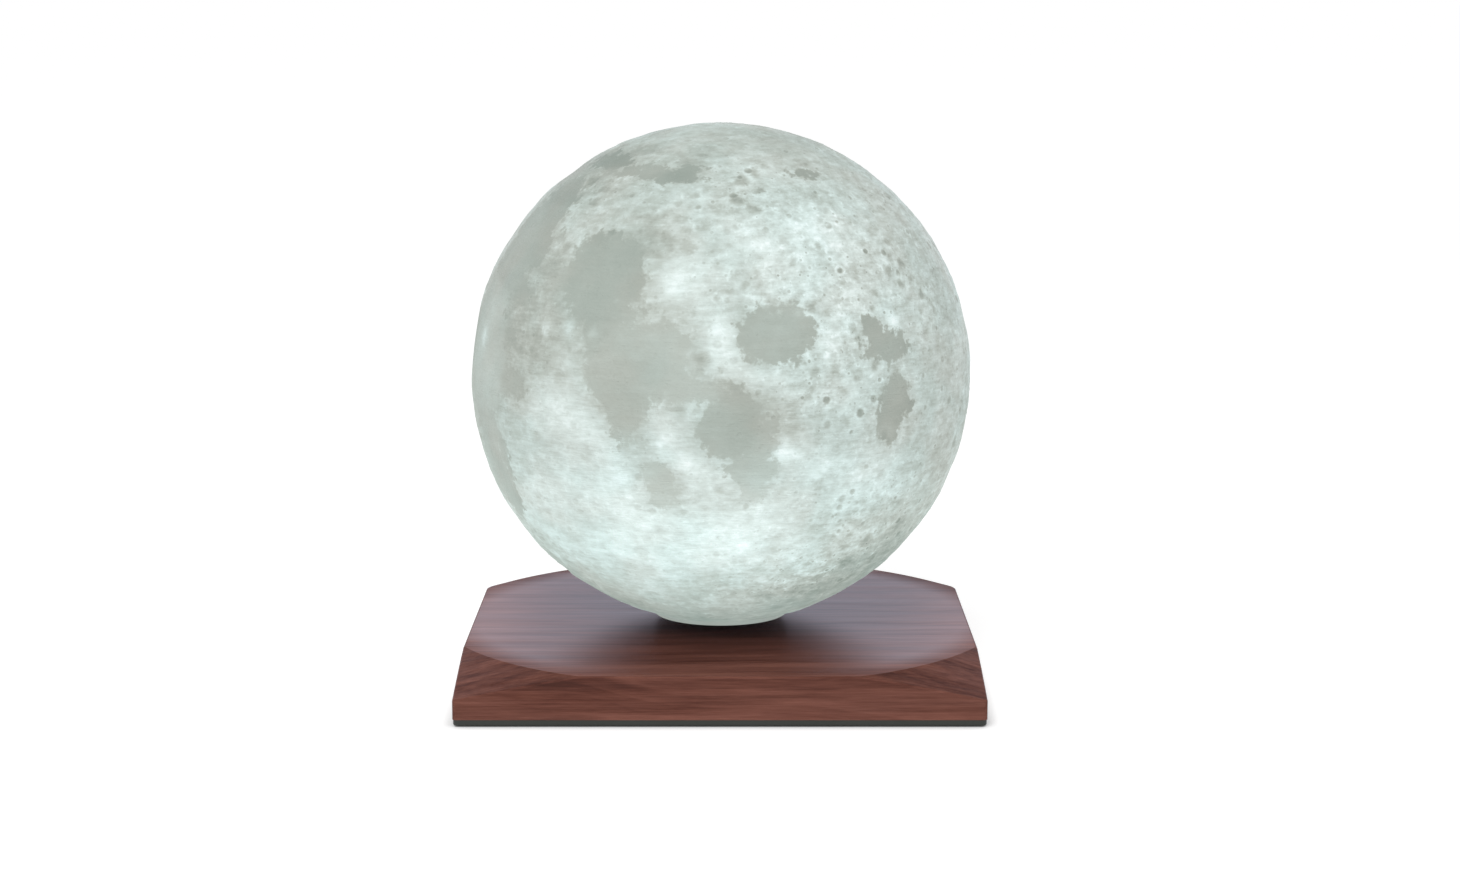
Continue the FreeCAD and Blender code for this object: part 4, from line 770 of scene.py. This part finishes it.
# %% Shared group: crater rings
ring_group, given, result = new_group("crater_rings", "ShaderNodeTree", {
    "Place": "NodeSocketVector", "Scale": 300.0, "Share": 0.6,
}, {"Tone": "NodeSocketFloat"})
tree = ring_group
cells = node(tree, "ShaderNodeTexVoronoi", Vector=given["Place"], Scale=given["Scale"]).outputs
random = node(tree, "ShaderNodeSeparateColor", Color=cells["Color"]).outputs
cell_r = maths(tree, "MULTIPLY_ADD", random[0], 0.22, 0.14)
away = maths(tree, "DIVIDE", cells["Distance"], cell_r)
floor_tone = step(tree, away, 0.5, 1.0, -1.6, 0.0)
edge_tone = times(tree, step(tree, away, 0.8, 1.15), step(tree, away, 1.2, 1.7, 1.0, 0.0))
ring_tone = maths(tree, "ADD", floor_tone, times(tree, edge_tone, 0.35))
present = maths(tree, "LESS_THAN", random[1], given["Share"])
strength = maths(tree, "MULTIPLY_ADD", random[2], 0.8, 0.2)
put(tree, result["Tone"], times(tree, ring_tone, present, strength))
print("crater rings ready")

# %% [markdown]
# ## The finish of the moon
#
# The print is a milky white plastic, lit from inside; dark parts are grey and a little warm, light
# parts lean to blue-green. So one number, the tone, decides the colour. The map gives it, noise
# pushes the edge of each sea in and out, wider noise mottles the high country, and noise that is
# squashed in height leaves the fine level streaks of the printed layers.

# %% Moon: tone and colour
tree = moon_nodes


def field(name):
    """One of the map's numbers, as the finish reads it."""
    return node(tree, "ShaderNodeAttribute", {"attribute_name": name}).outputs["Fac"]


def level(flatness, scale, detail, roughness):
    """Noise whose patches are wider than high, by flatness."""
    return noise(tree, stretched(tree, moon_place, (1.0, 1.0, flatness)), scale, detail, roughness)


def rings(scale, share):
    """Small craters; share is how many of the cells have one."""
    return grouped(tree, ring_group, moon_place, Scale=scale, Share=share)["Tone"]


coast = noise(tree, moon_place, 85.0, 3.0, 0.6)
inlets = noise(tree, moon_place, 380.0, 3.0, 0.6)
patches = noise(tree, moon_place, 70.0, 3.0, 0.55)
soft_patches = noise(tree, moon_place, 38.0, 2.0, 0.5)
mottle, crust = level(1.4, 230.0, 2.0, 0.6), level(1.6, 700.0, 2.0, 0.6)
streaks, fine_streaks = level(8.0, 55.0, 4.0, 0.62), level(5.0, 210.0, 3.0, 0.6)
flecks = step(tree, noise(tree, moon_place, 520.0, 1.0, 0.5), 0.10, 0.24)
rings_large, rings_small, rings_tiny = rings(190.0, 0.45), rings(430.0, 0.6), rings(900.0, 0.6)

in_sea = step(tree, plus(tree, field("sea"), (coast, 7.5), (inlets, 6.5)), -0.5, 0.7)
grit = plus(tree, 0.0, (mottle, 0.6), (crust, 0.25), (rings_large, 0.28), (rings_small, 0.18),
            (rings_tiny, 0.06), (flecks, 0.08))
on_country = plus(tree, field("land"), (patches, 0.5), (mottle, 0.24), (streaks, 0.42),
                  (fine_streaks, 0.40), (flecks, 0.07), (grit, field("rough")), (field("crater"), 0.12))
on_sea = plus(tree, field("sea_tone"), (soft_patches, 0.45), (streaks, 0.16), (mottle, 0.12),
              (crust, 0.08), (rings_small, 0.02))
tone_mix = node(tree, "ShaderNodeMix", Factor=in_sea)
in_order(tree, (tone_mix.inputs[2], tone_mix.inputs[3]), (on_country, on_sea))
tone = plus(tree, tone_mix.outputs[0], (field("spot"), 1.0))
MOON_TONES = [
    (-0.3, (138, 148, 139)), (0.0, (157, 166, 158)), (0.2, (170, 178, 170)), (0.4, (185, 195, 188)),
    (0.6, (200, 212, 207)), (0.8, (214, 228, 224)), (1.0, (229, 243, 241)), (1.15, (239, 250, 249)),
]
COOL, WARM = (0.97, 1.0, 1.0, 1), (1.03, 0.985, 0.975, 1)
surface = colour_ramp(tree, tone, MOON_TONES)
warmth = step(tree, noise(tree, moon_place, 45.0, 2.0, 0.5), -0.16, 0.16)
surface = blend(tree, 0.6, surface, blend(tree, warmth, COOL, WARM), "MULTIPLY")
print("tones from", MOON_TONES[0][1], "to", MOON_TONES[-1][1])

# %% [markdown]
# The lamp is both lit and shining: part of what we see is room light on white plastic, and part is
# its own light coming through. The glow is given only to what the camera sees, and other rays meet
# a darkened copy of the plastic, darkest at its seat: painted shade that keeps the wood under the
# moon, and the moon's reflection in it, dark. It asks about the ray, as the floor did.

# %% Moon: plastic and glow
PLASTIC_SHARE = 0.46
GLOW_SHARE = 0.54
PAINTED_LOW_LIFT = (1.72, 1.82, 1.86)  # painted light: the lower half glows brighter, to lift the shade it gets from the room
PAINTED_LOW_LIFT_SPAN = (0.80, 0.04)  # how far below the middle the painted lift is full and where it ends, in radii
SEAT_SHADE, PAINTED_SHADE_SHARE = 0.10, 0.55  # painted shade: the share of the plastic that other rays see, at the seat and above it
SEAT_SPAN = (0.025, 0.058)  # the heights between which the one turns into the other
PRINT_RELIEF = 0.0005

height = parts(tree, moon_place)["Z"]
# painted light: the glow of the lower half is raised, which lifts the shade that falls there
full, none = (MOON_CENTRE - share * MOON_R for share in PAINTED_LOW_LIFT_SPAN)
painted_lift_part = step(tree, height, full, none, 1.0, 0.0)
glow_and_painted_lift = blend(tree, painted_lift_part, surface, stretched(tree, surface, PAINTED_LOW_LIFT))
# painted shade: other rays see the moon darkened, most at its seat, so the wood under it stays dark
painted_shade_factor = step(tree, height, *SEAT_SPAN, SEAT_SHADE, PAINTED_SHADE_SHARE)
layers = level(14.0, 160.0, 2.0, 0.5)
relief = plus(tree, 0.0, (mottle, 0.8), (crust, 0.5), (layers, 0.4), (rings_small, 0.12), (rings_large, 0.25))
lit_plastic = blend(tree, PLASTIC_SHARE, (0, 0, 0, 1), surface)
lit_shader = node(tree, "ShaderNodeBsdfPrincipled", Base_Color=lit_plastic, Emission_Color=glow_and_painted_lift,
                  Emission_Strength=GLOW_SHARE)
# the copy that other rays meet: the surface with the painted shade
fill(tree, moon_shader, Base_Color=scaled(tree, surface, painted_shade_factor))
for moon_side in (moon_shader, lit_shader):
    fill(tree, moon_side, Roughness=0.65, Specular_IOR_Level=0.25)
    bumped(tree, moon_side, relief, PRINT_RELIEF)
mixed(tree, camera_ray(tree), moon_shader, lit_shader)
print("moon finish:", len(tree.nodes), "nodes")

# %% [markdown]
# ## Walnut
#
# The base is one block of walnut under a clear varnish, its grain running from side to side. Wood is
# a solid pattern, not a wrapping: a board is cut out of rings round the heart of the tree. So we
# measure how far each point lies from a heart line that runs below and behind the block, let noise
# bend the rings, and every face, flat or sloping, shows the right lines by itself. The varnish
# shines most on the flat top and fades towards the disc's edge, which gives the top its haze. Painted
# light makes the wood a little lighter along the edges of the top, where it lifts the moon's shadow,
# and low on its sides; painted shade makes it a little darker high on its sides.

# %% Walnut finish
HEART_Y, HEART_Z = 0.035, -0.075
DISC_R = 0.1013  # of the flat top
WALNUT = [
    (0.0, (49, 27, 22)), (0.3, (80, 46, 38)), (0.5, (102, 63, 53)), (0.7, (119, 76, 65)),
    (1.0, (140, 93, 80)),
]
EDGE_SPAN, PAINTED_EDGE_LIGHT = (0.060, 0.090), 0.30  # distance from the middle, and the painted light added to the tone there
SIDE_SPAN, PAINTED_SIDE_SHADING = (0.003, 0.0165), (0.12, -0.10)  # heights, and what is added at each: painted light low down, painted shade higher up
DISC_POLISH, RIM_POLISH = 0.64, 0.02  # coat that only the flat top has, at its middle and its rim
SIDE_POLISH, SLOPE_POLISH = 0.20, 0.36  # coat of the upright faces, and of all that looks up

walnut, tree, shader, place = new_material("walnut")


def along_grain(squeeze, scale, detail, roughness):
    """Noise drawn out along the grain, by squeeze."""
    return noise(tree, stretched(tree, place, (1.0, squeeze, squeeze)), scale, detail, roughness)


bend, streaks = along_grain(3.0, 9.0, 2.0, 0.5), along_grain(9.0, 14.0, 3.0, 0.5)
fibre, pores = along_grain(30.0, 28.0, 4.0, 0.6), along_grain(24.0, 150.0, 3.0, 0.6)
rubbed = along_grain(16.0, 12.0, 4.0, 0.6)
axes = parts(tree, place)
ring_place = node(tree, "ShaderNodeCombineXYZ", Y=maths(tree, "SUBTRACT", axes["Y"], HEART_Y),
                  Z=maths(tree, "SUBTRACT", axes["Z"], HEART_Z))
from_heart = plus(tree, vectors(tree, "LENGTH", ring_place.outputs[0]), (bend, 0.030))
along_ring = node(tree, "ShaderNodeCombineXYZ", X=from_heart).outputs[0]
growth = noise(tree, along_ring, 260.0, 3.0, 0.6)
normal = node(tree, "ShaderNodeNewGeometry").outputs["Normal"]
flatness = parts(tree, normal)["Z"]
edge_near = maths(tree, "MAXIMUM", *(maths(tree, "ABSOLUTE", axes[name]) for name in "XY"))
# painted light along the top's edges, and painted light low and painted shade high on the upright sides
painted_edge_light = step(tree, edge_near, *EDGE_SPAN, 0.0, PAINTED_EDGE_LIGHT)
painted_edge_light = times(tree, painted_edge_light, step(tree, flatness, 0.98, 0.999))
painted_side_shading = step(tree, axes["Z"], *SIDE_SPAN, *PAINTED_SIDE_SHADING)
painted_side_shading = times(tree, painted_side_shading, step(tree, flatness, 0.1, 0.3, 1.0, 0.0))
wood_tone = plus(tree, 0.5, (growth, 0.9), (fibre, 0.8), (pores, 0.35), (streaks, 0.7),
                 (painted_edge_light, 1.0), (painted_side_shading, 1.0))
from_middle = vectors(tree, "LENGTH", stretched(tree, place, (1.0, 1.0, 0.0)))
to_rim = step(tree, from_middle, DISC_R - 0.014, DISC_R + 0.001, DISC_POLISH, RIM_POLISH)
polish = times(tree, step(tree, flatness, 0.955, 0.999), to_rim)
polish = maths(tree, "ADD", polish, step(tree, flatness, 0.3, 0.9, SIDE_POLISH, SLOPE_POLISH))
fill(tree, shader, Base_Color=colour_ramp(tree, wood_tone, WALNUT), Roughness=0.5, Specular_IOR_Level=0.0,
     Coat_Weight=plus(tree, polish, (rubbed, 0.55)), Coat_Roughness=0.37, Coat_IOR=1.5)
bumped(tree, shader, fibre, 0.00002)
print("walnut:", len(tree.nodes), "nodes")

# %% [markdown]
# ## Finishes for everything else
#
# The other pieces are moulded plastic, rubber, metal and enamelled wire. Two effects come back in
# most of them, so each is a group that we build once: a fine grain for what is moulded, and fine
# scratches with a direction for what is turned or rolled.

# %% Shared groups: moulded grain and brushed lines
FINISH_RESULTS = {
    "Colour": "NodeSocketColor", "Height": "NodeSocketFloat", "Roughness Shift": "NodeSocketFloat",
}
GREY = (0.5, 0.5, 0.5, 1.0)

grain_group, given, result = new_group("moulded_grain", "ShaderNodeTree", {
    "Place": "NodeSocketVector", "Colour": GREY, "Grain Size": 2500.0, "Unevenness": 0.1,
}, FINISH_RESULTS)
tree = grain_group
speckle = noise(tree, given["Place"], given["Grain Size"])
cloud = noise(tree, given["Place"], 60.0, 3.0)
uneven = maths(tree, "MULTIPLY_ADD", cloud, given["Unevenness"], 1.0)
in_order(tree, result, (scaled(tree, given["Colour"], uneven), speckle, times(tree, cloud, 0.3)))

brushed_group, given, result = new_group("brushed_lines", "ShaderNodeTree", {
    "Place": "NodeSocketVector", "Colour": GREY, "Lines": 900.0,
}, FINISH_RESULTS)
tree = brushed_group
lines = noise(tree, stretched(tree, given["Place"], (0.05, 1.0, 1.0)), given["Lines"], 3.0, 0.6)
smudge = noise(tree, given["Place"], 90.0)
lighter = maths(tree, "MULTIPLY_ADD", lines, 0.25, 1.0)
in_order(tree, result, (scaled(tree, given["Colour"], lighter), lines, times(tree, smudge, 0.35)))


def from_group(name, group, colour, roughness, depth, looks, **inputs):
    """A finish with colour, relief and uneven roughness from one of the two groups, and other looks."""
    material, tree, shader, place = new_material(name)
    out = grouped(tree, group, place, Colour=shade(*colour), **inputs)
    uneven = maths(tree, "ADD", out["Roughness Shift"], roughness)
    fill(tree, shader, Base_Color=out["Colour"], Roughness=uneven, **looks)
    bumped(tree, shader, out["Height"], depth)
    return material


def moulded(name, colour, roughness, grain=2500.0, depth=0.00002, coat=0.0):
    """Plastic, rubber or lacquer with a fine grain."""
    looks = {"Coat_Weight": coat}
    return from_group(name, grain_group, colour, roughness, depth, looks, Grain_Size=grain, Unevenness=0.25)


def metal(name, colour, roughness, lines=900.0, depth=0.00001):
    """Turned, rolled or plated metal with fine scratches."""
    return from_group(name, brushed_group, colour, roughness, depth, {"Metallic": 1.0}, Lines=lines)


print("groups ready:", grain_group.name, brushed_group.name)

# %% [markdown]
# The moon's cap is the same milky plastic, and shines with it. Wound copper shows its turns as fine
# ridges round the middle, and circuit boards show the tracks under their green lacquer.

# %% Cap, copper and boards
CAP_COLOUR = (196, 208, 200)


def glowing_cap():
    """Milky plastic that is lit from inside for the camera, and darkened for other rays as painted shade."""
    material, tree, shader, place = new_material("cap_plastic")
    out = grouped(tree, grain_group, place, Colour=shade(*CAP_COLOUR), Grain_Size=1600.0, Unevenness=0.3)
    dark = (0, 0, 0, 1)
    lit = node(tree, "ShaderNodeBsdfPrincipled", Emission_Color=out["Colour"], Emission_Strength=GLOW_SHARE,
               Base_Color=blend(tree, PLASTIC_SHARE, dark, out["Colour"]))
    # painted shade: other rays meet the cap darkened, as they meet the moon
    fill(tree, shader, Base_Color=blend(tree, SEAT_SHADE, dark, out["Colour"]))
    for side in (shader, lit):
        fill(tree, side, Roughness=0.6)
        bumped(tree, side, out["Height"], 0.00003)
    mixed(tree, camera_ray(tree), shader, lit)
    return material


def wound_copper():
    """Enamelled copper wire, wound in level turns."""
    material, tree, shader, place = new_material("copper")
    turns = node(tree, "ShaderNodeTexWave", {"wave_type": "RINGS", "rings_direction": "Z"}, Vector=place,
                 Scale=260.0, Distortion=0.4).outputs["Fac"]
    # painted highlight on each turn and painted shade between the turns, over the relief of the turns
    shine = blend(tree, turns, shade(120, 58, 30), shade(205, 128, 84))
    fill(tree, shader, Base_Color=shine, Metallic=0.85, Roughness=0.32)
    bumped(tree, shader, turns, 0.0001)
    return material


def board_green():
    """Green lacquer over copper tracks that run square to each other."""
    material, tree, shader, place = new_material("circuit_board")
    colours = {"Color1": shade(14, 84, 44), "Color2": shade(20, 96, 52), "Mortar": shade(44, 128, 74)}
    tracks = node(tree, "ShaderNodeTexBrick", Vector=place, Scale=260.0, Mortar_Size=0.03, **colours).outputs
    fill(tree, shader, Base_Color=tracks["Color"], Roughness=0.35, Coat_Weight=0.5)
    bumped(tree, shader, tracks["Fac"], 0.00003)
    return material


print("cap colour", CAP_COLOUR)

# %% [markdown]
# Every piece of the solid model names its slot, and each slot gets one finish. A moulded finish has
# a colour and a roughness, then its grain, relief and varnish where they differ from the usual. A
# metal has a colour and a roughness, then the fineness of its scratches.

# %% A finish for each slot
MOULDED = {
    "black_plastic": ((40, 43, 36), 0.55, 1800.0, 0.00003),
    "rubber": ((24, 24, 24), 0.8, 3000.0),
    "ferrite": ((48, 48, 51), 0.6, 4000.0),
    "chip_black": ((28, 28, 31), 0.5, 5000.0),
    "frame_plastic": ((54, 54, 57), 0.5),
    "bobbin_nylon": ((218, 212, 194), 0.4),
    "header_plastic": ((228, 222, 206), 0.3),
    "red_lead": ((160, 20, 16), 0.35, 2000.0, 0.00001),
    "black_lead": ((18, 18, 18), 0.35, 2000.0, 0.00001),
    "led_board_white": ((232, 234, 232), 0.3, 1500.0, 0.00001, 0.4),
    "led_lens": ((240, 220, 120), 0.2, 1200.0, 0.00001, 0.6),
    "frosted_dome": ((238, 240, 238), 0.55, 2200.0),
}
METALS = {
    "screw_steel": ((172, 172, 168), 0.3),
    "yoke_steel": ((138, 140, 142), 0.42),
    "neodymium": ((200, 196, 186), 0.14),
    "spring_steel": ((184, 184, 178), 0.25),
    "nickel_brass": ((204, 200, 190), 0.16),
    "can_aluminium": ((205, 208, 210), 0.22),
    "spreader_aluminium": ((182, 184, 186), 0.35, 1400.0),
}
FINISHES = {
    **{name: moulded(name, *values) for name, values in MOULDED.items()},
    **{name: metal(name, *values) for name, values in METALS.items()},
    "walnut": walnut, "copper": wound_copper(), "circuit_board": board_green(), "cap_plastic": glowing_cap(),
}
slot_of = {part["node"]: part["material_slot"] for part in frame["record"]["subparts"]}
dressed_nodes = [name for name in frame["nodes"] if slot_of[name] in FINISHES]
for name in dressed_nodes:
    materials = frame["nodes"][name].data.materials
    materials.clear()
    materials.append(FINISHES[slot_of[name]])
print("dressed", len(dressed_nodes), "of", len(frame["nodes"]), "pieces; the moon's shell is rebuilt")

# %% [markdown]
# ## Closing
#
# Last, we print the size of the solid model and of what we made from it, which should be
# the same.

# %% Sizes, then finish
visual_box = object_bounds()
sizes = {"cad": [list(p) for p in cad_box], "visual": [list(p) for p in visual_box]}
print("sizes", {k: [round(v, 4) for p in boxes for v in p] for k, boxes in sizes.items()})
